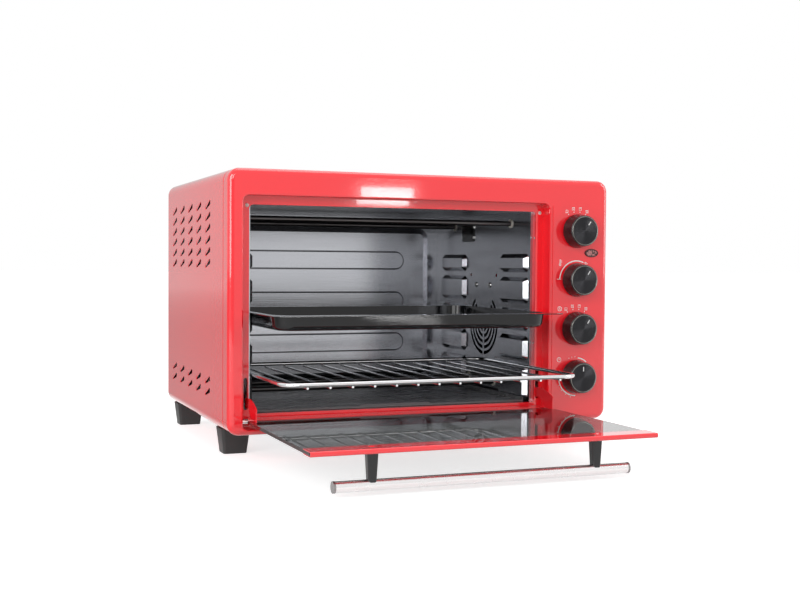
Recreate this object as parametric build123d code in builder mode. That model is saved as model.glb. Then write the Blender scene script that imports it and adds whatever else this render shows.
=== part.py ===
"""A tabletop convection oven: sheet-metal cabinet, glass drop-down door, four knobs, tray and rack.

Millimetres. X runs along the front, -Y is the front, +Z is up. The origin is on the surface that
the feet stand on, in the middle of the whole footprint with the door lying open.
"""

from build123d import *
import math
import os

os.makedirs("parts", exist_ok=True)

# Cabinet
WIDTH = 560
DEPTH = 410
HEIGHT = 345
FOOT = 34
SHEET = 1.0
CORNER = 16
BEZEL_DEPTH = 28
SEAM = 2.5
OUTLET_FLANGE = 3

# Door recess and cavity opening in the front, X and Z from the cabinet's middle and lower edge
MIDDLE = -38
RECESS_DEPTH = 19
RECESS_X = (MIDDLE - 222, MIDDLE + 222)
RECESS_Z = (7, 310)
OPENING_HALF = 210
OPENING_Z = (26, 299)
RETURN_END = 28

# Cavity liner
LINER = 0.8
CAVITY_HALF = 206.5
CAVITY_Z = (24, 301)
CAVITY_BACK = 362
PAD_REACH = 6
PAD_COLUMNS = ((33, 121), (243, 336))
PAD_ROWS = ((27, 76.5), (84, 119.5), (127, 159), (166.5, 205), (212, 239))

# Door, drawn lying open: distances forward of the pivot and above it
PIVOT_DEPTH = 12.5
PIVOT_HEIGHT = 16.5
DOOR_HALF = 218.5
DOOR_LENGTH = 291
GLASS = (0.5, 4.5)
GLASS_FROM = 8
GLASS_TO = 287
PIN_RADIUS = 2.5
EAR = 1.6
EAR_MIDDLE = 212.8
RUNNING_GAP = 0.05
SNUG = 0.02

# Handle
HANDLE_HALF = 185.5
HANDLE_RADIUS = 6.5
HANDLE_DROP = 37.5
HANDLE_FROM_PIVOT = 272.5
POST_HALF_SPACING = 142.5

# Controls on the panel
KNOB_X = 228.5
KNOB_HEIGHTS = (271.8, 201.9, 132.2, 62.7)
KNOB_POINTERS = (35, 35, 35, 0)
KNOB_NAMES = ("upper_heat", "thermostat", "function", "timer")
KNOB_RADIUS = 21.5
KNOB_SKIRT = 24.2
KNOB_GAP = 3
KNOB_LENGTH = 20
SHAFT_RADIUS = 3
LAMP_AT = (252.5, 240.6)

# Shelves
RACK_HALF = 202
RACK_DEPTH = 301
RACK_FRONT = -121
RACK_WIRE = 2.75
RACK_ROD = 1.5
RACK_RODS = 13
TRAY_HALF = 203.5
TRAY_DEPTH = 320
TRAY_FRONT = -78
TRAY_HEIGHT = 20
CRUMB_HALF = 198
CRUMB_DEPTH = 322
CRUMB_FRONT = 30

# Convection fan behind the right wall of the cavity
FAN_DEPTH = 180
FAN_HEIGHT = 132

# The whole reach, door edge to cord outlet, puts the origin in the middle
DOOR_REACH = DOOR_LENGTH - PIVOT_DEPTH
FRONT = DOOR_REACH - (DOOR_REACH + DEPTH + OUTLET_FLANGE) / 2

pieces = {}


def y(depth):
    """The Y of a distance behind the front face."""
    return FRONT + depth


def z(height):
    """The Z of a height above the cabinet's lower edge."""
    return FOOT + height


def facing_front(depth):
    """An upright plane looking out of the front: sketch X is X, sketch Y is Z."""
    return Plane(origin=(0, y(depth), 0), x_dir=(1, 0, 0), z_dir=(0, -1, 0))


def facing_right(x):
    """An upright plane looking to the right: sketch X is Y, sketch Y is Z."""
    return Plane(origin=(x, 0, 0), x_dir=(0, 1, 0), z_dir=(1, 0, 0))


def facing_left(x):
    """An upright plane looking to the left: sketch X is minus Y, sketch Y is Z."""
    return Plane(origin=(x, 0, 0), x_dir=(0, -1, 0), z_dir=(-1, 0, 0))


def middle(span):
    """The middle of a low and a high value."""
    return (span[0] + span[1]) / 2


def length(span):
    """The distance between a low and a high value."""
    return span[1] - span[0]


def block(xs, ys, zs, mode=Mode.ADD):
    """A box between two X, two Y and two Z values."""
    with Locations((middle(xs), middle(ys), middle(zs))):
        Box(length(xs), length(ys), length(zs), mode=mode)


def panel(us, vs, radius=0, mode=Mode.ADD):
    """A rectangle between two values each way, with rounded corners where a radius is given."""
    with Locations((middle(us), middle(vs))):
        if radius:
            RectangleRounded(length(us), length(vs), radius, mode=mode)
        else:
            Rectangle(length(us), length(vs), mode=mode)


def grown(span, amount):
    """A span made longer by the same amount at both ends."""
    return (span[0] - amount, span[1] + amount)


def rod_x(xs, depth, height, radius, mode=Mode.ADD):
    """A round bar along X."""
    with Locations((middle(xs), y(depth), z(height))):
        Cylinder(radius, length(xs), rotation=(0, 90, 0), mode=mode)


def rod_y(at_x, depths, height, radius, mode=Mode.ADD):
    """A round bar along Y."""
    with Locations((at_x, y(middle(depths)), z(height))):
        Cylinder(radius, length(depths), rotation=(90, 0, 0), mode=mode)


def keep(name, piece):
    """Name a finished piece and keep it for the export."""
    piece.part.label = name
    pieces[name] = piece


full_x = (-WIDTH / 2, WIDTH / 2)
full_z = (z(0), z(HEIGHT))

# Front bezel: a pressed frame with the door recess, the cavity's return flange and the control panel
BEZEL_EDGE = 8
RECESS_CORNER = 8
OPENING_CORNER = 6
SLOT_LENGTH = 42
SLOT_WIDTH = 5.4
SLOT_HEIGHT = 52.3
SLOT_OUT = 1.4
EDGE_ROUND = 2.2
GROOVE_X = (187.6, 189.8)
GROOVE_Z = (10, 307)
GROOVE_DEEP = 1.0
CATCHES = ((23.5, 111), (23.5, 261.5))
JOGGLE = 8
SHAFT_HOLE = 5.6
LAMP_SIZE = (22, 12)

recess_z = (z(RECESS_Z[0]), z(RECESS_Z[1]))
opening_x = (MIDDLE - OPENING_HALF, MIDDLE + OPENING_HALF)
opening_z = (z(OPENING_Z[0]), z(OPENING_Z[1]))

with BuildPart() as bezel_void:
    with BuildSketch(facing_front(BEZEL_DEPTH)):
        panel(grown(full_x, -SHEET), grown(full_z, -SHEET), CORNER - SHEET)
    extrude(amount=BEZEL_DEPTH - SHEET)
    fillet(bezel_void.faces().sort_by(Axis.Y)[0].edges(), BEZEL_EDGE - SHEET)

with BuildPart() as front_bezel:
    with BuildSketch(facing_front(BEZEL_DEPTH)):
        panel(full_x, full_z, CORNER)
    extrude(amount=BEZEL_DEPTH)
    fillet(front_bezel.faces().sort_by(Axis.Y)[0].edges(), BEZEL_EDGE)
    add(bezel_void.part, mode=Mode.SUBTRACT)
    with BuildSketch(facing_front(RECESS_DEPTH + SHEET)):
        panel(grown(RECESS_X, SHEET), grown(recess_z, SHEET), RECESS_CORNER + SHEET)
    extrude(amount=RECESS_DEPTH + SHEET / 2)
    with BuildSketch(facing_front(RETURN_END)):
        panel(grown(opening_x, SHEET), grown(opening_z, SHEET), OPENING_CORNER + SHEET)
    extrude(amount=RETURN_END - RECESS_DEPTH)
    with BuildSketch(facing_front(RECESS_DEPTH)):
        panel(RECESS_X, recess_z, RECESS_CORNER)
    extrude(amount=RECESS_DEPTH + SHEET, mode=Mode.SUBTRACT)
    first = EDGE_ROUND * (1 - math.sqrt(0.5))
    for start, reach, amount, angle in ((0, EDGE_ROUND, first, 67.5), (first, first, EDGE_ROUND - first, 22.5)):
        with BuildSketch(facing_front(start)):
            panel(grown(RECESS_X, reach), grown(recess_z, reach), RECESS_CORNER + reach)
        extrude(amount=-amount, taper=angle, mode=Mode.SUBTRACT)
    with BuildSketch(facing_front(RETURN_END)):
        panel(opening_x, opening_z, OPENING_CORNER)
    extrude(amount=RETURN_END, mode=Mode.SUBTRACT)
    with BuildSketch(facing_front(RECESS_DEPTH + 2 * SHEET)):
        for side in (-1, 1):
            with Locations((MIDDLE + side * (EAR_MIDDLE + SLOT_OUT), z(SLOT_HEIGHT))):
                SlotOverall(SLOT_LENGTH, SLOT_WIDTH, rotation=90)
    extrude(amount=2 * SHEET, mode=Mode.SUBTRACT)
    with BuildSketch(facing_front(2 * SHEET)):
        with Locations([(KNOB_X, z(h)) for h in KNOB_HEIGHTS]):
            Circle(SHAFT_HOLE)
        with Locations((LAMP_AT[0], z(LAMP_AT[1]))):
            Ellipse(LAMP_SIZE[0] / 2, LAMP_SIZE[1] / 2)
    extrude(amount=3 * SHEET, mode=Mode.SUBTRACT)
    block(grown(GROOVE_X, 1.4), (y(SHEET / 2), y(2 * SHEET)), (z(GROOVE_Z[0] - 1), z(GROOVE_Z[1] + 1)))
    block(GROOVE_X, (y(-1), y(GROOVE_DEEP)), (z(GROOVE_Z[0]), z(GROOVE_Z[1])), mode=Mode.SUBTRACT)
    for depth, height in CATCHES:
        rod_x((opening_x[1] - 2, opening_x[1] + 2 * SHEET), depth, height, 1.8, mode=Mode.SUBTRACT)
    rod_x((RECESS_X[0] - 2 * SHEET, RECESS_X[1] + 2 * SHEET), PIVOT_DEPTH, PIVOT_HEIGHT, PIN_RADIUS + SNUG,
          mode=Mode.SUBTRACT)
    with BuildSketch(facing_front(BEZEL_DEPTH + JOGGLE)):
        panel(grown(full_x, -SHEET), grown(full_z, -SHEET), CORNER - SHEET)
        panel(grown(full_x, -2 * SHEET), grown(full_z, -2 * SHEET), CORNER - 2 * SHEET,
              mode=Mode.SUBTRACT)
    extrude(amount=JOGGLE + 5)
keep("front_bezel", front_bezel)

# Outer wrap: one sheet folded over both sides and the top, with louvred sides
WRAP_FLANGE = 62
LOUVRE = (32, 7)
LOUVRE_TILT = -13
LOUVRE_FIRST = 121
LOUVRE_PITCH = 58.5
LOUVRE_COLUMNS = 5
LOUVRE_ROW = 16
LOUVRE_UPPER = (302, 6)
LOUVRE_LOWER = (61.9, 2)

wrap_front = BEZEL_DEPTH + SEAM
with BuildPart() as outer_wrap:
    with BuildSketch(facing_front(DEPTH)):
        panel(full_x, full_z, CORNER)
        panel(grown(full_x, -SHEET), grown(full_z, -SHEET), CORNER - SHEET, mode=Mode.SUBTRACT)
    extrude(amount=DEPTH - wrap_front)
    block(grown(full_x, -WRAP_FLANGE), (y(0), y(DEPTH + 1)), (z(-1), z(SHEET + 1)), mode=Mode.SUBTRACT)
    with BuildSketch(facing_right(WIDTH / 2 + 1)):
        for top, rows in (LOUVRE_UPPER, LOUVRE_LOWER):
            for row in range(rows):
                for column in range(LOUVRE_COLUMNS):
                    with Locations((y(LOUVRE_FIRST + column * LOUVRE_PITCH), z(top - row * LOUVRE_ROW))):
                        SlotOverall(*LOUVRE, rotation=LOUVRE_TILT)
    extrude(amount=-WIDTH - 2, mode=Mode.SUBTRACT)
keep("outer_wrap", outer_wrap)

# Base plate on the wrap's lower flanges, with rows of air slots
BASE_Z = (SHEET, 2 * SHEET)
with BuildPart() as base_plate:
    block(grown(full_x, -CORNER - 0.5), (y(BEZEL_DEPTH + JOGGLE + 1), y(DEPTH - 12)), (z(BASE_Z[0]), z(BASE_Z[1])))
    with BuildSketch(Plane.XY.offset(z(BASE_Z[1]))):
        with Locations((MIDDLE, y(220))):
            with GridLocations(52, 44, 6, 5):
                SlotOverall(36, 5)
    extrude(amount=-SHEET, mode=Mode.SUBTRACT)
keep("base_plate", base_plate)

# Rear cover: a pan inside the wrap's back end, with air slots and the cord outlet
REAR_LIP = 9
GLAND_AT = (215, 52)
GLAND_HOLE = 7
rear_x = grown(full_x, -SHEET - 0.2)
rear_z = (z(2 * SHEET + 0.2), z(HEIGHT - SHEET - 0.2))
with BuildPart() as rear_cover:
    with BuildSketch(facing_front(DEPTH)):
        panel(rear_x, rear_z, CORNER - SHEET)
    extrude(amount=REAR_LIP)
    with BuildSketch(facing_front(DEPTH - SHEET)):
        panel(grown(rear_x, -SHEET), grown(rear_z, -SHEET), CORNER - 2 * SHEET)
    extrude(amount=REAR_LIP, mode=Mode.SUBTRACT)
    with BuildSketch(facing_front(DEPTH)):
        with Locations((215, z(250)), (215, z(150)), (-60, z(300))):
            with GridLocations(46, 13, 2, 5):
                SlotOverall(34, 5)
        with Locations((GLAND_AT[0], z(GLAND_AT[1]))):
            Circle(GLAND_HOLE)
    extrude(amount=2 * SHEET, mode=Mode.SUBTRACT)
keep("rear_cover", rear_cover)

# Feet: four tapered blocks, wider at the top, each held up by a screw through the base
FOOT_TOP = (40, 38)
FOOT_FLOOR = (32, 30)
FOOT_X = 252
FOOT_DEPTHS = (88, 386)
SCREW_HOLE = 2.6
foot_places = {}
for side_name, side in (("left", -1), ("right", 1)):
    for end_name, depth in (("front", FOOT_DEPTHS[0]), ("rear", FOOT_DEPTHS[1])):
        foot_places[f"foot_{end_name}_{side_name}"] = (side * FOOT_X, y(depth))
for name, place in foot_places.items():
    with BuildPart() as foot:
        with BuildSketch(Plane.XY):
            with Locations(place):
                RectangleRounded(*FOOT_FLOOR, 4)
        with BuildSketch(Plane.XY.offset(FOOT)):
            with Locations(place):
                RectangleRounded(*FOOT_TOP, 5)
        loft()
        with Locations((*place, FOOT / 2)):
            Cylinder(SCREW_HOLE, FOOT + 2, mode=Mode.SUBTRACT)
        with Locations((*place, 8)):
            Cylinder(6, 16, mode=Mode.SUBTRACT)
    keep(name, foot)

# Foot screws: pan heads sunk in the feet, shanks up through the flange and the base plate
with BuildPart() as foot_screws:
    for place in foot_places.values():
        with Locations((*place, 14.5)):
            Cylinder(4.5, 3)
        with Locations((*place, (16 + z(7)) / 2)):
            Cylinder(SCREW_HOLE - 0.3, z(7) - 16)
keep("foot_screws", foot_screws)
with BuildPart() as outer_wrap:
    add(pieces["outer_wrap"].part)
    for place in foot_places.values():
        with Locations((*place, z(0))):
            Cylinder(SCREW_HOLE, 3, mode=Mode.SUBTRACT)
keep("outer_wrap", outer_wrap)
with BuildPart() as base_plate:
    add(pieces["base_plate"].part)
    for place in foot_places.values():
        with Locations((*place, z(1.5))):
            Cylinder(SCREW_HOLE, 3, mode=Mode.SUBTRACT)
keep("base_plate", base_plate)

# Cavity liner: five sheets. The side walls carry pressed pads whose tops are the shelf ledges
cavity_x = (MIDDLE - CAVITY_HALF, MIDDLE + CAVITY_HALF)
cavity_z = (z(CAVITY_Z[0]), z(CAVITY_Z[1]))
PAD_DRAFT = 45
PAD_CORNER = 8
PAD_INSET = 0.35
HEATER_RADIUS = 3.8
HEATERS = {
    "heater_upper_front": (90, 284),
    "heater_upper_rear": (290, 284),
    "heater_lower_front": (143, 44),
    "heater_lower_rear": (232, 44),
}
BUSH_RADIUS = 6.5


def side_wall(side):
    """One side wall: a flat sheet, pads drawn in towards the cavity, hollow behind, and bush holes."""
    inner = MIDDLE + side * CAVITY_HALF
    outer = inner + side * LINER
    inner_plane = facing_left(inner) if side > 0 else facing_right(inner)
    outer_plane = facing_left(outer) if side > 0 else facing_right(outer)
    along = -1 if side > 0 else 1
    with BuildPart() as wall:
        block(sorted((inner, outer)), (y(RETURN_END), y(CAVITY_BACK)), cavity_z)
        for columns in PAD_COLUMNS:
            for rows in PAD_ROWS:
                us = sorted((along * y(columns[0]), along * y(columns[1])))
                vs = (z(rows[0]), z(rows[1]))
                with BuildSketch(inner_plane):
                    panel(us, vs, PAD_CORNER)
                extrude(amount=PAD_REACH, taper=PAD_DRAFT)
                with BuildSketch(outer_plane):
                    panel(grown(us, -PAD_INSET), grown(vs, -PAD_INSET), PAD_CORNER - PAD_INSET)
                extrude(amount=PAD_REACH, taper=PAD_DRAFT, mode=Mode.SUBTRACT)
        for depth, height in HEATERS.values():
            rod_x(grown(cavity_x, 5), depth, height, BUSH_RADIUS, mode=Mode.SUBTRACT)
        flange = (outer, outer + side * 3.5)
        block(sorted(flange), (y(RETURN_END), y(RETURN_END + LINER)), grown(cavity_z, -3))
    return wall


cavity_side_left = side_wall(-1)
keep("cavity_side_left", cavity_side_left)

# The right wall also has the fan's slots, the lamp window and four small holes above the fan
FAN_RINGS = (46.4, 37.6, 28.8, 20, 11.2)
FAN_SLOT = 5
FAN_SPINE = 5
FAN_CLOSED = 36
LAMP_WINDOW = (43.5, 29.5)
LAMP_PLACE = (237.5, 273.8)
FAN_SCREWS = ((158.3, 191.5), (207, 191.5))
FAN_HOLES = ((137, 206.7), (226.4, 206.7))
right_wall = cavity_x[1]
with BuildPart() as cavity_side_right:
    add(side_wall(1).part)
    with BuildSketch(facing_right(right_wall - 1)):
        with Locations((y(FAN_DEPTH), z(FAN_HEIGHT))):
            for radius in FAN_RINGS:
                Circle(radius + FAN_SLOT / 2)
                Circle(radius - FAN_SLOT / 2, mode=Mode.SUBTRACT)
            with Locations((0, -30)):
                Rectangle(FAN_SPINE, 60, mode=Mode.SUBTRACT)
            wedge = 60 * math.tan(math.radians(FAN_CLOSED))
            Polygon((0, -6), (wedge, 54), (-wedge, 54), align=None, mode=Mode.SUBTRACT)
    extrude(amount=3, mode=Mode.SUBTRACT)
    with BuildSketch(facing_right(right_wall - 1)):
        with Locations((y(LAMP_PLACE[0]), z(LAMP_PLACE[1]))):
            RectangleRounded(*LAMP_WINDOW, 3)
        with Locations([(y(d), z(h)) for d, h in FAN_HOLES + FAN_SCREWS]):
            Circle(2.5)
    extrude(amount=3, mode=Mode.SUBTRACT)
keep("cavity_side_right", cavity_side_right)

# Back wall: long ribs inside a shallow drawn field
RIB_HALF = 142
RIB_ROWS = (228.6, 161.5, 93)
RIB_HEIGHT = 28
RIB_REACH = 3
FIELD_HALF = 188
FIELD_Z = (34, 283)
FIELD_EDGE = 9
FIELD_REACH = 2.5
with BuildPart() as cavity_back:
    block(grown(cavity_x, LINER), (y(CAVITY_BACK), y(CAVITY_BACK + LINER)), grown(cavity_z, LINER))
    field_x = (MIDDLE - FIELD_HALF, MIDDLE + FIELD_HALF)
    field_z = (z(FIELD_Z[0]), z(FIELD_Z[1]))
    for depth, mode in ((CAVITY_BACK, Mode.ADD), (CAVITY_BACK + LINER, Mode.SUBTRACT)):
        with BuildSketch(facing_front(depth)):
            panel(field_x, field_z, FIELD_EDGE + 9)
        with BuildSketch(facing_front(depth - FIELD_REACH)):
            panel(grown(field_x, -FIELD_EDGE), grown(field_z, -FIELD_EDGE), 9)
        loft(mode=mode)
    for plane, shrink, mode in ((facing_front(CAVITY_BACK - FIELD_REACH), 0, Mode.ADD),
                                (facing_front(CAVITY_BACK - FIELD_REACH + LINER), LINER, Mode.SUBTRACT)):
        with BuildSketch(plane):
            for height in RIB_ROWS:
                panel((MIDDLE - RIB_HALF + shrink, MIDDLE + RIB_HALF - shrink),
                      (z(height - RIB_HEIGHT / 2 + shrink), z(height + RIB_HEIGHT / 2 - shrink)),
                      RIB_HEIGHT / 2 - shrink - 0.3)
        extrude(amount=RIB_REACH, taper=20, mode=mode)
keep("cavity_back", cavity_back)

with BuildPart() as cavity_top:
    block(grown(cavity_x, LINER), (y(RETURN_END), y(CAVITY_BACK)), (cavity_z[1], cavity_z[1] + LINER))
keep("cavity_top", cavity_top)

# The floor has two low rails that the crumb tray slides on
FLOOR_RAIL = 2.1
with BuildPart() as cavity_floor:
    block(grown(cavity_x, LINER), (y(RETURN_END), y(CAVITY_BACK)), (cavity_z[0] - LINER, cavity_z[0]))
    for side in (-1, 1):
        along_x = MIDDLE + side * 150
        block((along_x - 6, along_x + 6), (y(RETURN_END + 6), y(CAVITY_BACK - 8)),
              (cavity_z[0], cavity_z[0] + FLOOR_RAIL))
        block((along_x - 5.2, along_x + 5.2), (y(RETURN_END + 6.8), y(CAVITY_BACK - 8.8)),
              (cavity_z[0] - LINER, cavity_z[0] + FLOOR_RAIL - LINER), mode=Mode.SUBTRACT)
keep("cavity_floor", cavity_floor)

# Heating elements: four sheathed rods through ceramic bushes in the side walls
BUSH_OUT = 9
BUSH_IN = 1.5
HEATER_OUT = 15
for name, (depth, height) in HEATERS.items():
    with BuildPart() as heater:
        rod_x(grown(cavity_x, HEATER_OUT), depth, height, HEATER_RADIUS)
        rod_x(grown(cavity_x, HEATER_OUT + 4), depth, height, 1.6)
        for side in (-1, 1):
            end = MIDDLE + side * (CAVITY_HALF + HEATER_OUT + 3)
            xs = sorted((end, end + side * 9))
            block(xs, (y(depth - 3), y(depth + 3)), (z(height - 0.4), z(height + 0.4)))
    keep(name, heater)
with BuildPart() as heater_bushes:
    for depth, height in HEATERS.values():
        for side in (-1, 1):
            wall = MIDDLE + side * CAVITY_HALF
            xs = sorted((wall - side * BUSH_IN, wall + side * (LINER + BUSH_OUT)))
            rod_x(xs, depth, height, BUSH_RADIUS - 0.1)
            flange = sorted((wall + side * (LINER + 0.1), wall + side * (LINER + 4)))
            rod_x(flange, depth, height, BUSH_RADIUS + 3)
            rod_x(grown(xs, 1), depth, height, HEATER_RADIUS + 0.1, mode=Mode.SUBTRACT)
keep("heater_bushes", heater_bushes)

# Interior lamp behind a dark window in the right wall
lamp_y = y(LAMP_PLACE[0])
lamp_z = z(LAMP_PLACE[1])
with BuildPart() as lamp_glass:
    block((right_wall - 1.5, right_wall + LINER + 2), grown((lamp_y, lamp_y), LAMP_WINDOW[0] / 2 - 0.4),
          grown((lamp_z, lamp_z), LAMP_WINDOW[1] / 2 - 0.4))
    fillet(lamp_glass.edges().filter_by(Axis.X), 2.5)
keep("lamp_glass", lamp_glass)
with BuildPart() as lamp_housing:
    block((right_wall + LINER, right_wall + 46), grown((lamp_y, lamp_y), 25), grown((lamp_z, lamp_z), 18))
    block((right_wall - 1, right_wall + 45), grown((lamp_y, lamp_y), 24), grown((lamp_z, lamp_z), 17),
          mode=Mode.SUBTRACT)
keep("lamp_housing", lamp_housing)

# Convection fan: shroud, stamped blade on the motor's shaft, motor on a bracket
SHROUD_X = (right_wall + LINER, right_wall + 20)
SHROUD_HALF = 55
fan_y = y(FAN_DEPTH)
fan_z = z(FAN_HEIGHT)
FAN_SHAFT = 2.5
with BuildPart() as fan_shroud:
    block(SHROUD_X, grown((fan_y, fan_y), SHROUD_HALF), grown((fan_z, fan_z), SHROUD_HALF))
    block((SHROUD_X[0] - 1, SHROUD_X[1] - LINER), grown((fan_y, fan_y), SHROUD_HALF - LINER),
          grown((fan_z, fan_z), SHROUD_HALF - LINER), mode=Mode.SUBTRACT)
    with Locations((SHROUD_X[1], fan_y, fan_z)):
        Cylinder(8, 6, rotation=(0, 90, 0), mode=Mode.SUBTRACT)
keep("fan_shroud", fan_shroud)
BLADES = 6
with BuildPart() as fan_blade:
    rod_x((right_wall + 7, right_wall + 17), FAN_DEPTH, FAN_HEIGHT, 7)
    with BuildSketch(facing_right(right_wall + 7)):
        with Locations((fan_y, fan_z)):
            with PolarLocations(24, BLADES):
                Rectangle(36, 14)
    extrude(amount=1.2)
    with BuildSketch(facing_right(right_wall + 7)):
        with Locations((fan_y, fan_z)):
            with PolarLocations(24, BLADES):
                with Locations((0, 6.4)):
                    Rectangle(34, 1.2)
    extrude(amount=9)
    rod_x((right_wall + 5, right_wall + 18), FAN_DEPTH, FAN_HEIGHT, FAN_SHAFT + SNUG, mode=Mode.SUBTRACT)
keep("fan_blade", fan_blade)
MOTOR_X = (right_wall + 34, right_wall + 58)
with BuildPart() as fan_shaft:
    rod_x((right_wall + 6.5, MOTOR_X[1] + 6), FAN_DEPTH, FAN_HEIGHT, FAN_SHAFT)
keep("fan_shaft", fan_shaft)
with BuildPart() as fan_motor:
    block(MOTOR_X, (fan_y - 32, fan_y + 32), (fan_z - 30, fan_z + 34))
    block((MOTOR_X[0] - 5, MOTOR_X[1] + 5), (fan_y - 14, fan_y + 14), (fan_z - 14, fan_z + 14))
    block((MOTOR_X[0] - 7, MOTOR_X[1] + 7), (fan_y - 24, fan_y + 24), (fan_z + 20, fan_z + 40))
    for dy, dz in ((-24, -22), (24, -22), (-24, 26), (24, 26)):
        with Locations(((SHROUD_X[1] + MOTOR_X[0]) / 2, fan_y + dy, fan_z + dz)):
            Cylinder(3, MOTOR_X[0] - SHROUD_X[1], rotation=(0, 90, 0))
    rod_x(grown(MOTOR_X, 12), FAN_DEPTH, FAN_HEIGHT, FAN_SHAFT + RUNNING_GAP, mode=Mode.SUBTRACT)
keep("fan_motor", fan_motor)
with BuildPart() as fan_screws:
    for depth, height in FAN_SCREWS:
        rod_x((right_wall - 1.8, right_wall), depth, height, 4)
        rod_x((right_wall - 0.5, right_wall + 8), depth, height, 2.2)
keep("fan_screws", fan_screws)

# Control parts behind the panel, on a bracket. Each control's bush carries its knob's shaft
CONTROL_PLATE = (7, 8.2)
CONTROL_X = (KNOB_X - 26, KNOB_X + 26)
CONTROL_BUSH = 5
with BuildPart() as control_plate:
    block(CONTROL_X, (y(CONTROL_PLATE[0]), y(CONTROL_PLATE[1])), (z(30), z(306)))
    for height in (30, 304.8):
        block(CONTROL_X, (y(SHEET), y(CONTROL_PLATE[0])), (z(height), z(height + 1.2)))
    for height in KNOB_HEIGHTS:
        rod_y(KNOB_X, (4, 12), height, CONTROL_BUSH + 0.1, mode=Mode.SUBTRACT)
    with BuildSketch(facing_front(CONTROL_PLATE[1])):
        with Locations((LAMP_AT[0], z(LAMP_AT[1]))):
            Rectangle(24, 14)
    extrude(amount=2, mode=Mode.SUBTRACT)
keep("control_plate", control_plate)

CONTROL_BODIES = {
    "upper_heat_switch": (38, 36, 30),
    "thermostat": (44, 40, 34),
    "function_switch": (38, 36, 30),
    "timer": (46, 50, 44),
}
control_back = CONTROL_PLATE[1]
for (name, (wide, tall, deep)), height in zip(CONTROL_BODIES.items(), KNOB_HEIGHTS):
    with BuildPart() as control:
        block(grown((KNOB_X, KNOB_X), wide / 2), (y(control_back), y(control_back + deep)),
              grown((z(height), z(height)), tall / 2))
        chamfer(control.edges().filter_by(Axis.Y), 4)
        rod_y(KNOB_X, (2, control_back + 1), height, CONTROL_BUSH)
        rod_y(KNOB_X, (0, control_back + 20), height, SHAFT_RADIUS + RUNNING_GAP, mode=Mode.SUBTRACT)
        for offset in (-8, 0, 8):
            block((KNOB_X + offset - 2.4, KNOB_X + offset + 2.4),
                  (y(control_back + deep), y(control_back + deep + 7)), (z(height - 0.4), z(height + 0.4)))
    keep(name, control)

# Knobs: barrel with a skirt, a turned metal cap with a pointer groove, and the D-less round shaft
CAP_RADIUS = 18.6
CAP_THICK = 1.2
POINTER = (1.6, 6.4)
POINTER_FROM = 9.6
SHAFT_IN_KNOB = 12
for name, height, turn in zip(KNOB_NAMES, KNOB_HEIGHTS, KNOB_POINTERS):
    back = -KNOB_GAP
    face = -KNOB_GAP - KNOB_LENGTH
    with BuildPart() as knob:
        with Locations((KNOB_X, y((face + back) / 2), z(height))):
            Cone(KNOB_SKIRT, KNOB_RADIUS, KNOB_LENGTH, rotation=(90, 0, 0))
        chamfer(knob.edges().sort_by(Axis.Y)[0], 1.2)
        rod_y(KNOB_X, (back - 9, back + 1), height, KNOB_RADIUS - 2, mode=Mode.SUBTRACT)
        rod_y(KNOB_X, (face + 2, back), height, 6)
        rod_y(KNOB_X, (face - 1, face + CAP_THICK), height, CAP_RADIUS, mode=Mode.SUBTRACT)
        rod_y(KNOB_X, (back - SHAFT_IN_KNOB, back + 1), height, SHAFT_RADIUS + SNUG, mode=Mode.SUBTRACT)
    keep(f"knob_{name}", knob)
    with BuildPart() as cap:
        rod_y(KNOB_X, (face, face + CAP_THICK), height, CAP_RADIUS - 0.05)
        with BuildSketch(facing_front(face)):
            with Locations(Location((KNOB_X, z(height), 0), -turn)):
                with Locations((0, POINTER_FROM + POINTER[1] / 2)):
                    Rectangle(*POINTER)
        extrude(amount=-0.5, mode=Mode.SUBTRACT)
    keep(f"knob_cap_{name}", cap)
    with BuildPart() as shaft:
        rod_y(KNOB_X, (back - SHAFT_IN_KNOB, control_back + 18), height, SHAFT_RADIUS)
    keep(f"shaft_{name}", shaft)

# Pilot lamp in its oval hole
with BuildPart() as pilot_lens:
    with BuildSketch(facing_front(SHEET + 4)):
        with Locations((LAMP_AT[0], z(LAMP_AT[1]))):
            Ellipse(LAMP_SIZE[0] / 2 - 0.2, LAMP_SIZE[1] / 2 - 0.2)
    extrude(amount=SHEET + 5.2)
    fillet(pilot_lens.faces().sort_by(Axis.Y)[0].edges(), 0.9)
keep("pilot_lens", pilot_lens)

# Cord outlet bush in the rear cover
with BuildPart() as cord_outlet:
    rod_y(GLAND_AT[0], (DEPTH - 9, DEPTH), GLAND_AT[1], GLAND_HOLE - 0.1)
    rod_y(GLAND_AT[0], (DEPTH, DEPTH + OUTLET_FLANGE), GLAND_AT[1], GLAND_HOLE + 3)
    rod_y(GLAND_AT[0], (DEPTH - 12, DEPTH + 6), GLAND_AT[1], 3.9, mode=Mode.SUBTRACT)
keep("cord_outlet", cord_outlet)

# Screws that hold the rear cover and the wrap
with BuildPart() as rear_screws:
    for x in (-240, -80, 80, 240):
        for height in (16, HEIGHT - 16):
            rod_y(x, (DEPTH, DEPTH + 2), height, 3.6)
keep("rear_screws", rear_screws)

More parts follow.
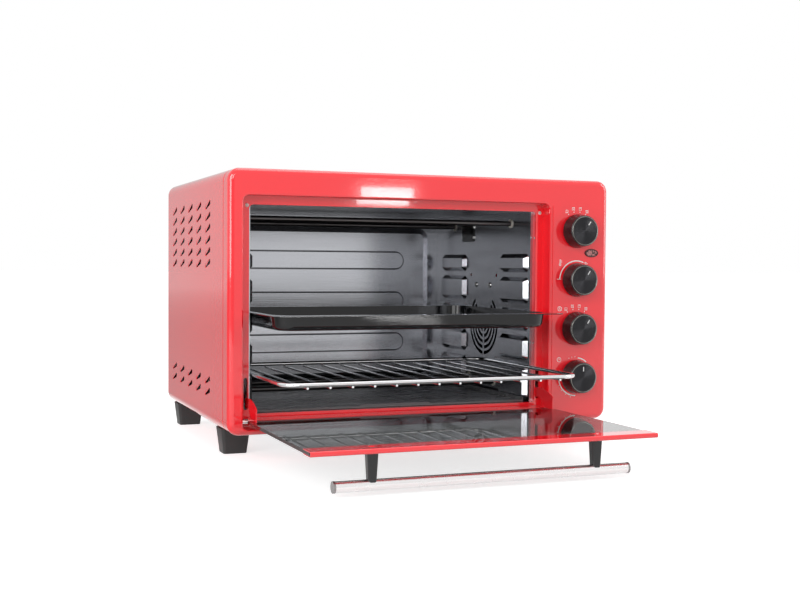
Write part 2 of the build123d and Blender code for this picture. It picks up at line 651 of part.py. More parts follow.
# Door glass: bare side edges, with both hinge-end corners notched for the ears
NOTCH = 21
pivot_y = y(PIVOT_DEPTH)
pivot_z = z(PIVOT_HEIGHT)
door_x = (MIDDLE - DOOR_HALF, MIDDLE + DOOR_HALF)
rail_x = (MIDDLE - EAR_MIDDLE + EAR / 2, MIDDLE + EAR_MIDDLE - EAR / 2)
handle_places = [(MIDDLE + side * POST_HALF_SPACING, pivot_y - HANDLE_FROM_PIVOT, pivot_z) for side in (-1, 1)]
with BuildPart() as door_glass:
    block(door_x, (pivot_y - GLASS_TO, pivot_y - NOTCH), (pivot_z + GLASS[0], pivot_z + GLASS[1]))
    block(rail_x, (pivot_y - NOTCH, pivot_y - GLASS_FROM), (pivot_z + GLASS[0], pivot_z + GLASS[1]))
    with Locations(handle_places):
        Cylinder(2.6, 20, mode=Mode.SUBTRACT)
keep("door_glass", door_glass)

# Folded channel along the door's free edge
CHANNEL = 27
FOLD = 1.0
with BuildPart() as door_top_channel:
    block(door_x, (pivot_y - DOOR_LENGTH, pivot_y - DOOR_LENGTH + CHANNEL),
          (pivot_z + GLASS[0] - FOLD, pivot_z + GLASS[1] + FOLD))
    fillet(door_top_channel.edges().filter_by(Axis.X).group_by(Axis.Y)[0], 2.4)
    block(grown(door_x, 1), (pivot_y - DOOR_LENGTH + 2 * FOLD, pivot_y),
          (pivot_z + GLASS[0], pivot_z + GLASS[1]), mode=Mode.SUBTRACT)
    with Locations(handle_places):
        Cylinder(2.6, 20, mode=Mode.SUBTRACT)
keep("door_top_channel", door_top_channel)

# Folded channel along the hinge edge, between the ears
RAIL = (-2, 20)
with BuildPart() as door_bottom_rail:
    block(rail_x, (pivot_y - RAIL[1], pivot_y - RAIL[0]),
          (pivot_z + GLASS[0] - FOLD, pivot_z + GLASS[1] + FOLD))
    block(grown(rail_x, 1), (pivot_y - RAIL[1] - 1, pivot_y - RAIL[0] - FOLD),
          (pivot_z + GLASS[0], pivot_z + GLASS[1]), mode=Mode.SUBTRACT)
keep("door_bottom_rail", door_bottom_rail)

# Hinge ears: a boss on the pin, a neck along the door, and a curved stop arm through the slot
EAR_FRONT = 44
EAR_RISE = 21
EAR_SEAT = 4.6
NECK = (-1, 6.2)
ARM_INNER = 18
ARM_END = (-11, 30)
BOSS = 5


def hinge_ear(side):
    """One door ear, cut from flat sheet. Sketch X is Y and sketch Y is Z."""
    plane = facing_right(MIDDLE + side * EAR_MIDDLE - EAR / 2)
    with BuildPart() as ear:
        with BuildSketch(plane):
            with BuildLine():
                ThreePointArc((pivot_y - ARM_END[0], pivot_z + ARM_END[1]), (pivot_y - 21, pivot_z + 29.8),
                              (pivot_y - EAR_FRONT, pivot_z + EAR_RISE))
                Polyline((pivot_y - EAR_FRONT, pivot_z + EAR_RISE), (pivot_y - EAR_FRONT, pivot_z + EAR_SEAT),
                         (pivot_y, pivot_z + EAR_SEAT), (pivot_y - ARM_END[0], pivot_z + EAR_SEAT),
                         (pivot_y - ARM_END[0], pivot_z + ARM_END[1]))
            make_face()
            with Locations((pivot_y, pivot_z)):
                Circle(ARM_INNER, mode=Mode.SUBTRACT)
                Circle(BOSS)
            panel((pivot_y, pivot_y + 30), (pivot_z - 30, pivot_z + 17), mode=Mode.SUBTRACT)
            panel((pivot_y - ARM_INNER - 2.5, pivot_y), (pivot_z + NECK[0], pivot_z + NECK[1]))
            with Locations((pivot_y, pivot_z)):
                Circle(BOSS)
                Circle(PIN_RADIUS + RUNNING_GAP, mode=Mode.SUBTRACT)
        extrude(amount=EAR)
    return ear


keep("door_ear_left", hinge_ear(-1))
keep("door_ear_right", hinge_ear(1))

# Hinge pins, riveted in the recess walls, with a collar against each ear
PIN_HEAD = 4.5
with BuildPart() as hinge_pins:
    for side, wall in ((-1, RECESS_X[0]), (1, RECESS_X[1])):
        ear_outside = MIDDLE + side * (EAR_MIDDLE + EAR / 2)
        rod_x(sorted((wall + side * 3, MIDDLE + side * (EAR_MIDDLE - EAR / 2 + 0.1))), PIVOT_DEPTH,
              PIVOT_HEIGHT, PIN_RADIUS)
        rod_x(sorted((wall - side, ear_outside + side * 0.3)), PIVOT_DEPTH, PIVOT_HEIGHT, PIN_HEAD)
        rod_x(sorted((wall + side * SHEET, wall + side * 3)), PIVOT_DEPTH, PIVOT_HEIGHT, PIN_HEAD)
keep("hinge_pins", hinge_pins)

# Handle: a tube on two tapered posts, with pressed end caps and screws through the glass
handle_y = pivot_y - HANDLE_FROM_PIVOT
handle_z = pivot_z - HANDLE_DROP
post_top = pivot_z + GLASS[0] - FOLD
TUBE_WALL = 1.2
with BuildPart() as handle_tube:
    with Locations((MIDDLE, handle_y, handle_z)):
        Cylinder(HANDLE_RADIUS, 2 * HANDLE_HALF, rotation=(0, 90, 0))
        Cylinder(HANDLE_RADIUS - TUBE_WALL, 2 * HANDLE_HALF + 2, rotation=(0, 90, 0), mode=Mode.SUBTRACT)
keep("handle_tube", handle_tube)
with BuildPart() as handle_end_caps:
    for side in (-1, 1):
        end = MIDDLE + side * HANDLE_HALF
        with Locations((end + side * 1.25, handle_y, handle_z)):
            Cylinder(HANDLE_RADIUS + 0.3, 2.5, rotation=(0, 90, 0))
        with Locations((end - side * 4, handle_y, handle_z)):
            Cylinder(HANDLE_RADIUS - TUBE_WALL - 0.05, 8, rotation=(0, 90, 0))
keep("handle_end_caps", handle_end_caps)
for name, side in (("handle_post_left", -1), ("handle_post_right", 1)):
    post_x = MIDDLE + side * POST_HALF_SPACING
    with BuildPart() as post:
        with BuildSketch(Plane.XY.offset(post_top)):
            with Locations((post_x, handle_y)):
                RectangleRounded(13.4, 13.4, 3)
        with BuildSketch(Plane.XY.offset(handle_z + 2)):
            with Locations((post_x, handle_y)):
                RectangleRounded(10, 11, 3)
        loft()
        with Locations((post_x, handle_y, handle_z)):
            Cylinder(HANDLE_RADIUS + 0.02, 40, rotation=(0, 90, 0), mode=Mode.SUBTRACT)
        with Locations((post_x, handle_y, post_top)):
            Cylinder(2.1, 24, mode=Mode.SUBTRACT)
    keep(name, post)
with BuildPart() as handle_screws:
    for side in (-1, 1):
        post_x = MIDDLE + side * POST_HALF_SPACING
        head = pivot_z + GLASS[1] + FOLD
        with Locations((post_x, handle_y, head + 1)):
            Cylinder(4.2, 2)
        with Locations((post_x, handle_y, head - 8)):
            Cylinder(2.0, 16)
keep("handle_screws", handle_screws)

# Baking tray: a drawn pan. Its flat rim rides on the sloping tops of the middle pads
RIM = 1.2
RIM_FRONT = 20
RIM_SIDE = 9.6
RIM_REAR = 9
TRAY_SHEET = 1.0
TRAY_CORNER = 28
TRAY_DRAFT = 8
TRAY_BEND = 7
ledge = z(PAD_ROWS[2][1]) - (CAVITY_HALF - TRAY_HALF)
rim_top = ledge + 0.3 + RIM
tray_x = (MIDDLE - TRAY_HALF, MIDDLE + TRAY_HALF)
tray_y = (y(TRAY_FRONT), y(TRAY_FRONT + TRAY_DEPTH))
body_x = grown(tray_x, -RIM_SIDE)
body_y = (tray_y[0] + RIM_FRONT, tray_y[1] - RIM_REAR)
with BuildPart() as tray_inside:
    with BuildSketch(Plane.XY.offset(rim_top)):
        panel(grown(body_x, -TRAY_SHEET), grown(body_y, -TRAY_SHEET), TRAY_CORNER - TRAY_SHEET)
    extrude(amount=-(TRAY_HEIGHT - TRAY_SHEET), taper=TRAY_DRAFT)
    fillet(tray_inside.faces().sort_by(Axis.Z)[0].edges(), TRAY_BEND - TRAY_SHEET)
with BuildPart() as baking_tray:
    with BuildSketch(Plane.XY.offset(rim_top)):
        panel(body_x, body_y, TRAY_CORNER)
    extrude(amount=-TRAY_HEIGHT, taper=TRAY_DRAFT)
    fillet(baking_tray.faces().sort_by(Axis.Z)[0].edges(), TRAY_BEND)
    with BuildSketch(Plane.XY.offset(rim_top)):
        panel(tray_x, tray_y, 8)
    extrude(amount=-RIM)
    add(tray_inside.part, mode=Mode.SUBTRACT)
keep("baking_tray", baking_tray)

# Wire rack: a thick frame wire with thin rods welded under its ends, and two cross braces
ledge_rack = z(PAD_ROWS[0][1]) - (CAVITY_HALF - RACK_HALF)
rack_z = ledge_rack + (RACK_WIRE + 0.3) * math.sqrt(2)
rack_y = (y(RACK_FRONT), y(RACK_FRONT + RACK_DEPTH))
rack_x = (MIDDLE - RACK_HALF, MIDDLE + RACK_HALF)
RACK_CORNER = 24
BITE = 0.35
with BuildPart() as wire_rack:
    with BuildLine(Plane.XY.offset(rack_z)) as frame_line:
        Polyline((rack_x[0], rack_y[0]), (rack_x[1], rack_y[0]), (rack_x[1], rack_y[1]),
                 (rack_x[0], rack_y[1]), close=True)
        fillet(frame_line.vertices(), RACK_CORNER)
    with BuildSketch(Plane(origin=(MIDDLE, rack_y[0], rack_z), z_dir=(1, 0, 0))):
        Circle(RACK_WIRE)
    sweep(path=frame_line.wire())
    for number in range(RACK_RODS):
        x = rack_x[0] + (number + 1) / (RACK_RODS + 1) * length(rack_x)
        with Locations((x, middle(rack_y), rack_z - RACK_WIRE - RACK_ROD + BITE)):
            Cylinder(RACK_ROD, length(rack_y), rotation=(90, 0, 0))
keep("wire_rack", wire_rack)

# Crumb tray: a shallow pan on the floor's rails, with a low front lip that rises to a pull in its middle
crumb_z = cavity_z[0] + FLOOR_RAIL + 0.3
crumb_x = (MIDDLE - CRUMB_HALF, MIDDLE + CRUMB_HALF)
crumb_y = (y(CRUMB_FRONT), y(CRUMB_FRONT + CRUMB_DEPTH))
PULL_HALF = 53
CRUMB_WALL = 6
CRUMB_LIP = 2.4
with BuildPart() as crumb_tray:
    block(crumb_x, crumb_y, (crumb_z, crumb_z + CRUMB_WALL))
    block(grown(crumb_x, -LINER), grown(crumb_y, -LINER), (crumb_z + LINER, crumb_z + 8), mode=Mode.SUBTRACT)
    block(grown(crumb_x, -LINER), (crumb_y[0] - 1, crumb_y[0] + 2 * LINER), (crumb_z + CRUMB_LIP, crumb_z + 8),
          mode=Mode.SUBTRACT)
    with BuildSketch(facing_front(CRUMB_FRONT + LINER)):
        with Locations((MIDDLE, crumb_z + 3.2)):
            Trapezoid(2 * PULL_HALF, 2.8, 40)
    extrude(amount=LINER)
keep("crumb_tray", crumb_tray)

for name, piece in pieces.items():
    export_step(piece.part, f"parts/{name}.step")
print(len(pieces), "nodes")
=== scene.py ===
# %% [markdown]
# # A red tabletop oven
# The oven's hard parts come ready made and sit in their real places. This lesson gives them their
# finishes, adds the small pieces that only the eye needs, and sets up the camera and the lamps.
# It starts with the modules and loads the oven's parts, whose sizes are in metres.

# %% Load the oven
import bpy
import bmesh
import math
from mathutils import Matrix, Vector


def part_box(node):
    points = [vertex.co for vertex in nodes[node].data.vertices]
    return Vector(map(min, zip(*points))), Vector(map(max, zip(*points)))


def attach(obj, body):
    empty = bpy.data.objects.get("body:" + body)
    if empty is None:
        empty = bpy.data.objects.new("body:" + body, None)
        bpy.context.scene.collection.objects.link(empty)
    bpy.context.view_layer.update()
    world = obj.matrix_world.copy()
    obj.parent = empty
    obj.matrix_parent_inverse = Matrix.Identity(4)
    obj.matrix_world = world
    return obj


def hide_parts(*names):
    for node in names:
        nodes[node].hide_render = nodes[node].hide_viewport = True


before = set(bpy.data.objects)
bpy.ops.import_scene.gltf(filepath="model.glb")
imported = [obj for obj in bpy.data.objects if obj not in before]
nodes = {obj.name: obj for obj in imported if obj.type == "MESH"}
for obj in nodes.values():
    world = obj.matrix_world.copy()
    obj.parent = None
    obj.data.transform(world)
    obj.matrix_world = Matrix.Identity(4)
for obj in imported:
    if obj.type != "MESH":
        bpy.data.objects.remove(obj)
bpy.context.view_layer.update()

# %% [markdown]
# ## The camera
# The photograph was taken from the left of the door, level with the middle of the case. The place
# and the angles (turn, tilt and roll) came from measuring straight edges of the case in it. The
# lens is given as a focal length on a 36 mm wide sensor, and there is no depth of field. A camera
# looks along its own negative Z, so its matrix has the directions to the right, up and backwards.

# %% Set up the camera
CAMERA_PLACE = (-0.6261, -1.5239, 0.2575)
CAMERA_ANGLES = (21.777, -1.794, 0.4155)
LENS = 52.31
SENSOR_WIDTH = 36

turn, tilt, roll = (math.radians(angle) for angle in CAMERA_ANGLES)
forward = Vector((math.sin(turn) * math.cos(tilt), math.cos(turn) * math.cos(tilt), math.sin(tilt)))
sideways = Vector((math.cos(turn), -math.sin(turn), 0))
upward = sideways.cross(forward)
right = sideways * math.cos(roll) + upward * math.sin(roll)
top = upward * math.cos(roll) - sideways * math.sin(roll)
camera_data = bpy.data.cameras.new("camera")
camera_data.lens = LENS
camera_data.sensor_width = SENSOR_WIDTH
camera = bpy.data.objects.new("camera", camera_data)
facing = Matrix((right, top, -forward)).transposed().to_4x4()
camera.matrix_world = Matrix.Translation(CAMERA_PLACE) @ facing
scene = bpy.context.scene
scene.collection.objects.link(camera)
scene.camera = camera
print("camera at", CAMERA_PLACE, "looking along", tuple(round(v, 3) for v in forward))

# %% [markdown]
# ## Shared effects
# Real surfaces are never one flat value. Five effects return in many of the finishes, so each is a
# node group with its own inputs, made once and placed where it is needed. The first helpers make
# a group and do sums in it. Each sum returns a socket, so one can be written inside another, as in
# a formula.

# %% Groups and sums
def new_group(name, inputs, outputs):
    """A node group with sockets, given as (name, kind, value). Returns it and its sockets."""
    group = bpy.data.node_groups.new(name, "ShaderNodeTree")
    kinds = {"float": "NodeSocketFloat", "colour": "NodeSocketColor", "vector": "NodeSocketVector"}
    for direction, sockets in (("INPUT", inputs), ("OUTPUT", outputs)):
        for socket_name, kind, value in sockets:
            socket = group.interface.new_socket(socket_name, in_out=direction,
                                                socket_type=kinds[kind])
            if value is not None:
                socket.default_value = value
    return (group, group.nodes.new("NodeGroupInput").outputs,
            group.nodes.new("NodeGroupOutput").inputs)


def feed(tree, socket, value):
    """Link another socket into this one, or set it to a plain value."""
    if isinstance(value, bpy.types.NodeSocket):
        tree.links.new(value, socket)
    elif value is not None:
        socket.default_value = value


def math_node(tree, operation, first, second=None):
    """A math node whose two inputs are numbers or sockets. Returns its output."""
    node = tree.nodes.new("ShaderNodeMath")
    node.operation = operation
    feed(tree, node.inputs[0], first)
    feed(tree, node.inputs[1], second)
    return node.outputs[0]


def times(tree, first, second):
    """The product of two numbers or sockets."""
    return math_node(tree, "MULTIPLY", first, second)


def plus(tree, first, second):
    """The sum of two numbers or sockets."""
    return math_node(tree, "ADD", first, second)


def minus(tree, first, second):
    """The first number or socket less the second."""
    return math_node(tree, "SUBTRACT", first, second)


def vector_node(tree, operation, first, second=None, amount=None):
    """A vector math node. Each input can be a tuple or a socket. Returns the node."""
    node = tree.nodes.new("ShaderNodeVectorMath")
    node.operation = operation
    feed(tree, node.inputs[0], first)
    feed(tree, node.inputs[1], second)
    if amount is not None:
        tree.links.new(amount, node.inputs["Scale"])
    return node


print("sums ready")

# %% [markdown]
# The next four turn a value into an amount between 0 and 1, mix two colours by an amount, split a
# place into x, y and z, and give noise at a place.

# %% Amounts, colours and noise
def rising(tree, value, low, high):
    """Turn a value into an amount that grows from 0 at low to 1 at high and stays between them."""
    node = tree.nodes.new("ShaderNodeMapRange")
    tree.links.new(value, node.inputs["Value"])
    node.inputs["From Min"].default_value = low
    node.inputs["From Max"].default_value = high
    return node.outputs[0]


def blend_colours(tree, amount, first, second):
    """Mix two colours by an amount. Each can be a colour or a socket. Returns the result."""
    node = tree.nodes.new("ShaderNodeMix")
    node.data_type = "RGBA"
    for number, value in ((0, amount), (6, first), (7, second)):
        feed(tree, node.inputs[number], (*value, 1) if isinstance(value, tuple) else value)
    return node.outputs[2]


def axes(tree, place):
    """The x, y and z of a place."""
    node = tree.nodes.new("ShaderNodeSeparateXYZ")
    tree.links.new(place, node.inputs[0])
    return node.outputs


def noise(tree, scale, detail, place, stretch=(1, 1, 1)):
    """A noise value at a place, with the pattern stretched along some axes."""
    mapping = tree.nodes.new("ShaderNodeMapping")
    mapping.inputs["Scale"].default_value = stretch
    tree.links.new(place, mapping.inputs["Vector"])
    node = tree.nodes.new("ShaderNodeTexNoise")
    node.inputs["Detail"].default_value = detail
    feed(tree, node.inputs["Scale"], scale)
    tree.links.new(mapping.outputs[0], node.inputs["Vector"])
    return node.outputs["Fac"]


print("colours and noise ready")

# %% [markdown]
# The first effect is the faint waviness of sprayed enamel, which bends reflections a little. It
# could be painted, but noise through a bump node follows the shape everywhere and needs no
# unwrapping. Fine dimples lie on long, lazy waves.

# %% Sprayed waviness
FINE_SHARE = 0.25
waviness, given, result = new_group(
    "Sprayed waviness",
    [("Place", "vector", None), ("Scale", "float", 220.0), ("Long waves", "float", 9.0)],
    [("Height", "float", None)])
fine = noise(waviness, given["Scale"], 2, given["Place"])
long = noise(waviness, given["Long waves"], 1, given["Place"])
total = plus(waviness, times(waviness, fine, FINE_SHARE), long)
waviness.links.new(total, result["Height"])
print(waviness.name, "has", len(waviness.nodes), "nodes")

# %% [markdown]
# Brushed and rolled sheet has fine lines that all run one way. They come from noise that is
# stretched far more along the lines than across them. The group gives a value to tint with and
# another to roughen with, so light breaks up along the grain.

# %% Rolled grain
ALONG_LINES = (0.02, 1, 1)
CLOUD_SCALE = 7.0
grain, given, result = new_group(
    "Rolled grain",
    [("Place", "vector", None), ("Across", "float", 700.0)],
    [("Lines", "float", None), ("Clouds", "float", None)])
lines = noise(grain, given["Across"], 3, given["Place"], ALONG_LINES)
clouds = noise(grain, CLOUD_SCALE, 2, given["Place"], (0.5, 1, 1))
grain.links.new(lines, result["Lines"])
grain.links.new(clouds, result["Clouds"])
print(grain.name, "gives lines and clouds")

# %% [markdown]
# Handled surfaces hold a film that dulls them in patches. This group turns soft noise into a
# roughness between two given limits, so the clean limit and the smudged limit stay readable.

# %% Handling film
PATCHY = (0.38, 0.68)
film, given, result = new_group(
    "Handling film",
    [("Place", "vector", None), ("Scale", "float", 14.0), ("Clean", "float", 0.1),
     ("Smudged", "float", 0.2)],
    [("Roughness", "float", None)])
patches = noise(film, given["Scale"], 4, given["Place"])
spread_out = rising(film, patches, *PATCHY)
film.links.new(given["Clean"], spread_out.node.inputs["To Min"])
film.links.new(given["Smudged"], spread_out.node.inputs["To Max"])
film.links.new(spread_out, result["Roughness"])
print(film.name, "gives a roughness")

# %% [markdown]
# Paint is thinner on a pressed edge, and metal polishes there. The bevel node reads the shape near
# a point: where its normal differs from the surface's own, the point is on an edge.

# %% Edge touch
EDGE_CONTRAST = 4.0
edges, given, result = new_group(
    "Edge touch",
    [("Width", "float", 0.0012)],
    [("Mask", "float", None)])
bevel = edges.nodes.new("ShaderNodeBevel")
bevel.samples = 4
edges.links.new(given["Width"], bevel.inputs["Radius"])
normal = edges.nodes.new("ShaderNodeNewGeometry").outputs["Normal"]
likeness = vector_node(edges, "DOT_PRODUCT", bevel.outputs[0], normal)
turned = minus(edges, 1.0, likeness.outputs["Value"])
strength = times(edges, turned, EDGE_CONTRAST)
edges.links.new(math_node(edges, "MINIMUM", strength, 1.0), result["Mask"])
print(edges.name, "gives a mask")

# %% [markdown]
# ## Making a finish
# Every finish is a Principled shader with a few settings of its own, and the effects above in
# front of it. The first helper makes the shader and hands back its tree, so each finish below only
# says what is special about it. The others link an effect to it. The texture place is the object's
# own, in metres.

# %% Helpers for finishes
def new_finish(name, colour, metallic=0.0, roughness=0.4, **settings):
    """A material with one Principled shader. Returns the material, its tree, shader and place."""
    material = bpy.data.materials.new(name)
    material.use_nodes = True
    tree = material.node_tree
    shader = tree.nodes["Principled BSDF"]
    shader.inputs["Base Color"].default_value = (*colour, 1)
    shader.inputs["Metallic"].default_value = metallic
    shader.inputs["Roughness"].default_value = roughness
    for setting, value in settings.items():
        shader.inputs[setting.replace("_", " ")].default_value = value
    place = tree.nodes.new("ShaderNodeTexCoord").outputs["Object"]
    return material, tree, shader, place


def use_group(tree, group, place=None, **values):
    """Place a node group in a material and set its inputs. Returns its outputs."""
    node = tree.nodes.new("ShaderNodeGroup")
    node.node_tree = group
    if place is not None:
        tree.links.new(place, node.inputs["Place"])
    for name, value in values.items():
        node.inputs[name.replace("_", " ")].default_value = value
    return node.outputs


def paint(tree, shader, amount, first, second):
    """Give the finish a mix of two colours."""
    tree.links.new(blend_colours(tree, amount, first, second), shader.inputs["Base Color"])


def smudge(tree, shader, place, scale, clean, smudged):
    """Let the handling film set the finish's roughness."""
    smear = use_group(tree, film, place, Scale=scale, Clean=clean, Smudged=smudged)
    tree.links.new(smear["Roughness"], shader.inputs["Roughness"])


def raise_surface(tree, shader, height, distance, strength=1.0):
    """Feed a height through a bump node into the shader."""
    bump = tree.nodes.new("ShaderNodeBump")
    bump.inputs["Distance"].default_value = distance
    bump.inputs["Strength"].default_value = strength
    tree.links.new(height, bump.inputs["Height"])
    tree.links.new(bump.outputs[0], shader.inputs["Normal"])


def give(material, *names):
    """Put a finish on solid pieces of the oven."""
    for name in names:
        mesh = nodes[name].data
        mesh.materials.clear()
        mesh.materials.append(material)
    print(material.name, "on", ", ".join(names))


# %% [markdown]
# ## Red enamel
# The case is sprayed with a deep glossy red under a thin clear coat. The coat gives the sharp white
# reflections, and its weight is kept down so that the sides, which the camera sees at a low angle,
# don't turn pale. Waviness bends the reflections, and the colour thins on edges.

# %% Red enamel
RED = (0.90, 0.012, 0.022)
RED_EDGE = (0.92, 0.07, 0.075)
enamel, tree, shader, place = new_finish("red enamel", RED, roughness=0.06, IOR=1.5,
                                         Coat_Weight=0.8, Coat_Roughness=0.025, Coat_IOR=1.55)
wave = use_group(tree, waviness, place, Scale=260.0, Long_waves=8.0)
raise_surface(tree, shader, wave["Height"], 0.0006, 0.25)
smudge(tree, shader, place, 9.0, 0.045, 0.1)
worn = use_group(tree, edges, Width=0.001)
paint(tree, shader, times(tree, worn["Mask"], 0.35), RED, RED_EDGE)
give(enamel, "front_bezel", "outer_wrap", "door_top_channel", "door_bottom_rail", "door_ear_left",
     "door_ear_right")

# %% [markdown]
# ## The steel liner
# The cavity is aluminised steel: bright, slightly soft in its reflections, with rolling lines along
# the sheet. Low roughness matters here, because the walls show their darkness by mirroring each
# other and their brightness by mirroring the room.

# %% Liner steel
def rolled_sheet(name, dark, light, smooth, spread, metallic=1.0):
    """A steel sheet with two tones, its lowest roughness and how far the roughness spreads."""
    material, tree, shader, place = new_finish(name, light, metallic, smooth)
    rolled = use_group(tree, grain, place, Across=500.0)
    paint(tree, shader, rolled["Clouds"], dark, light)
    soft = plus(tree, times(tree, rolled["Lines"], spread), smooth)
    tree.links.new(soft, shader.inputs["Roughness"])
    raise_surface(tree, shader, rolled["Lines"], 0.00004)
    return material


LINER_TONES = (0.44, 0.45, 0.48), (0.56, 0.57, 0.60)
liner = rolled_sheet("liner steel", *LINER_TONES, 0.15, 0.10)
give(liner, "cavity_side_left", "cavity_side_right")

# %% [markdown]
# Three long ribs with round ends are pressed into the back wall. A thin dark line of painted shade
# runs in the crease round each, and that line is what draws the ribs in the photograph. A point's
# distance to a rib's middle line is the same all along the crease, so a narrow band of distances
# finds it.

# %% Creases round the ribs
FLOOR_TO_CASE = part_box("front_bezel")[0][2]
RIB_X = -0.038
RIB_STRAIGHT = 0.128
RIB_RADIUS = 0.0145
RIB_HEIGHTS = [FLOOR_TO_CASE + height for height in (0.2286, 0.1615, 0.093)]
CREASE_EDGE, CREASE_CORE = 0.0016, 0.0006
CREASE_SHADE_COLOUR = (0.05, 0.05, 0.055)
CREASE_SHADE_AMOUNT = 0.85
back_steel = rolled_sheet("back wall steel", *LINER_TONES, 0.15, 0.10)
tree = back_steel.node_tree
shader = tree.nodes["Principled BSDF"]
point = axes(tree, tree.nodes.new("ShaderNodeTexCoord").outputs["Object"])
out = math_node(tree, "ABSOLUTE", minus(tree, point["X"], RIB_X))
past_end = math_node(tree, "MAXIMUM", minus(tree, out, RIB_STRAIGHT), 0.0)
crease = 0.0
for height in RIB_HEIGHTS:
    above = minus(tree, point["Z"], height)
    squares = [times(tree, value, value) for value in (past_end, above)]
    distance = math_node(tree, "SQRT", plus(tree, *squares))
    off = math_node(tree, "ABSOLUTE", minus(tree, distance, RIB_RADIUS))
    crease = math_node(tree, "MAXIMUM", rising(tree, off, CREASE_EDGE, CREASE_CORE), crease)
# Darken the sheet in a thin line round each rib: this is painted shade in the crease, not dirt.
crease_shade = times(tree, crease, CREASE_SHADE_AMOUNT)
sheet = shader.inputs["Base Color"].links[0].from_socket
paint(tree, shader, crease_shade, sheet, CREASE_SHADE_COLOUR)
give(back_steel, "cavity_back")
print(len(RIB_HEIGHTS), "ribs creased")

# %% [markdown]
# The ceiling is the liner steel painted much darker, as painted shade. The crumb tray and the floor
# under it have a dark baked coating, so they aren't metallic to the eye: they mirror the back wall
# softly, and only at a low angle.

# %% Shaded ceiling steel and baked-on floor steel
# The ceiling's tones are much darker than the liner's: this is painted shade.
shaded_ceiling_steel = rolled_sheet("shaded ceiling steel", (0.06, 0.06, 0.066), (0.11, 0.11, 0.12),
                             0.22, 0.12)
give(shaded_ceiling_steel, "cavity_top")
floor_steel = rolled_sheet("baked floor coating", (0.09, 0.09, 0.095), (0.15, 0.15, 0.157),
                           0.2, 0.14, metallic=0.0)
give(floor_steel, "cavity_floor", "crumb_tray")

# %% [markdown]
# Hidden panels, brackets and the motor are plain galvanised sheet, greyer and rougher, with the
# cloudy flowers of zinc.

# %% Galvanised sheet
FLOWERS_PER_METRE = 90
zinc, tree, shader, place = new_finish("galvanised sheet", (0.5, 0.51, 0.52), 1.0, 0.4)
cells = tree.nodes.new("ShaderNodeTexVoronoi")
cells.inputs["Scale"].default_value = FLOWERS_PER_METRE
tree.links.new(place, cells.inputs["Vector"])
flowers = tree.nodes.new("ShaderNodeSeparateColor")
tree.links.new(cells.outputs["Color"], flowers.inputs[0])
paint(tree, shader, flowers.outputs[0], (0.42, 0.43, 0.45), (0.6, 0.61, 0.62))
smudge(tree, shader, place, 20.0, 0.32, 0.48)
give(zinc, "base_plate", "rear_cover", "control_plate", "lamp_housing", "fan_motor", "fan_shaft")

# %% [markdown]
# The fan's box and blade sit in the dark behind the slots. Their sheet is painted dull and nearly
# black as painted shade, so the slots read as dark lines.

# %% Fan sheet darkened as painted shade
# Nearly black as painted shade, for the dark behind the slots.
shaded_fan_sheet = rolled_sheet("shaded fan sheet", (0.02, 0.02, 0.022), (0.06, 0.06, 0.063),
                         0.42, 0.2)
give(shaded_fan_sheet, "fan_shroud", "fan_blade")

# %% [markdown]
# ## Bright metals
# The rack is chromed wire, the screws and pins are zinc plated, the heaters have a scorched sheath,
# and the handle is a satin tube whose grain runs along it, closed by darker ends. One helper makes
# them all, since they differ only in tone and in how sharp they are. The table gives for each its
# dark and light tone, its clean and smudged roughness, how fine its lines are and how deep.

# %% Plated and satin metals
def plated(name, dark, light, clean, smudged, across, depth):
    """A metal with grain lines, two tones and a range of roughness."""
    material, tree, shader, place = new_finish(name, light, 1.0, clean)
    rolled = use_group(tree, grain, place, Across=across)
    paint(tree, shader, rolled["Lines"], dark, light)
    smudge(tree, shader, place, 40.0, clean, smudged)
    raise_surface(tree, shader, rolled["Lines"], depth)
    return material


METALS = {
    "rack chrome": ((0.62, 0.62, 0.63), (0.85, 0.85, 0.86), 0.08, 0.18, 300.0, 0.00001),
    "satin handle steel": ((0.72, 0.70, 0.70), (0.92, 0.90, 0.90), 0.22, 0.32, 1200.0, 0.00002),
    "handle end steel": ((0.2, 0.19, 0.19), (0.4, 0.39, 0.39), 0.25, 0.4, 900.0, 0.00002),
    "zinc plated steel": ((0.5, 0.5, 0.5), (0.75, 0.75, 0.74), 0.2, 0.35, 800.0, 0.00001),
    "heater sheath": ((0.05, 0.046, 0.046), (0.15, 0.14, 0.14), 0.3, 0.5, 600.0, 0.00003),
}
KNOBS = ("upper_heat", "thermostat", "function", "timer")
metal = {name: plated(name, *values) for name, values in METALS.items()}
give(metal["rack chrome"], "wire_rack")
give(metal["satin handle steel"], "handle_tube")
give(metal["handle end steel"], "handle_end_caps")
give(metal["zinc plated steel"], "foot_screws", "fan_screws", "rear_screws", "hinge_pins",
     *(f"shaft_{knob}" for knob in KNOBS))
give(metal["heater sheath"], "heater_upper_front", "heater_upper_rear", "heater_lower_front",
     "heater_lower_rear")

# %% [markdown]
# ## Black enamel on the tray
# The tray is dipped in black enamel that is close to mirror smooth, so it shows mostly the room.
# Its colour is nearly nothing. Tiny orange-peel dimples and a dull film give it scale, and its
# pressed edges show a little of the grey ground coat.

# %% Black tray enamel
TRAY_BLACK = (0.008, 0.008, 0.009)
TRAY_EDGE = (0.07, 0.07, 0.075)
tray_enamel, tree, shader, place = new_finish("black tray enamel", TRAY_BLACK, roughness=0.06,
                                              IOR=1.42)
wave = use_group(tree, waviness, place, Scale=420.0, Long_waves=18.0)
raise_surface(tree, shader, wave["Height"], 0.0005, 0.3)
smudge(tree, shader, place, 22.0, 0.035, 0.09)
worn = use_group(tree, edges, Width=0.001)
paint(tree, shader, times(tree, worn["Mask"], 0.3), TRAY_BLACK, TRAY_EDGE)
give(tray_enamel, "baking_tray")

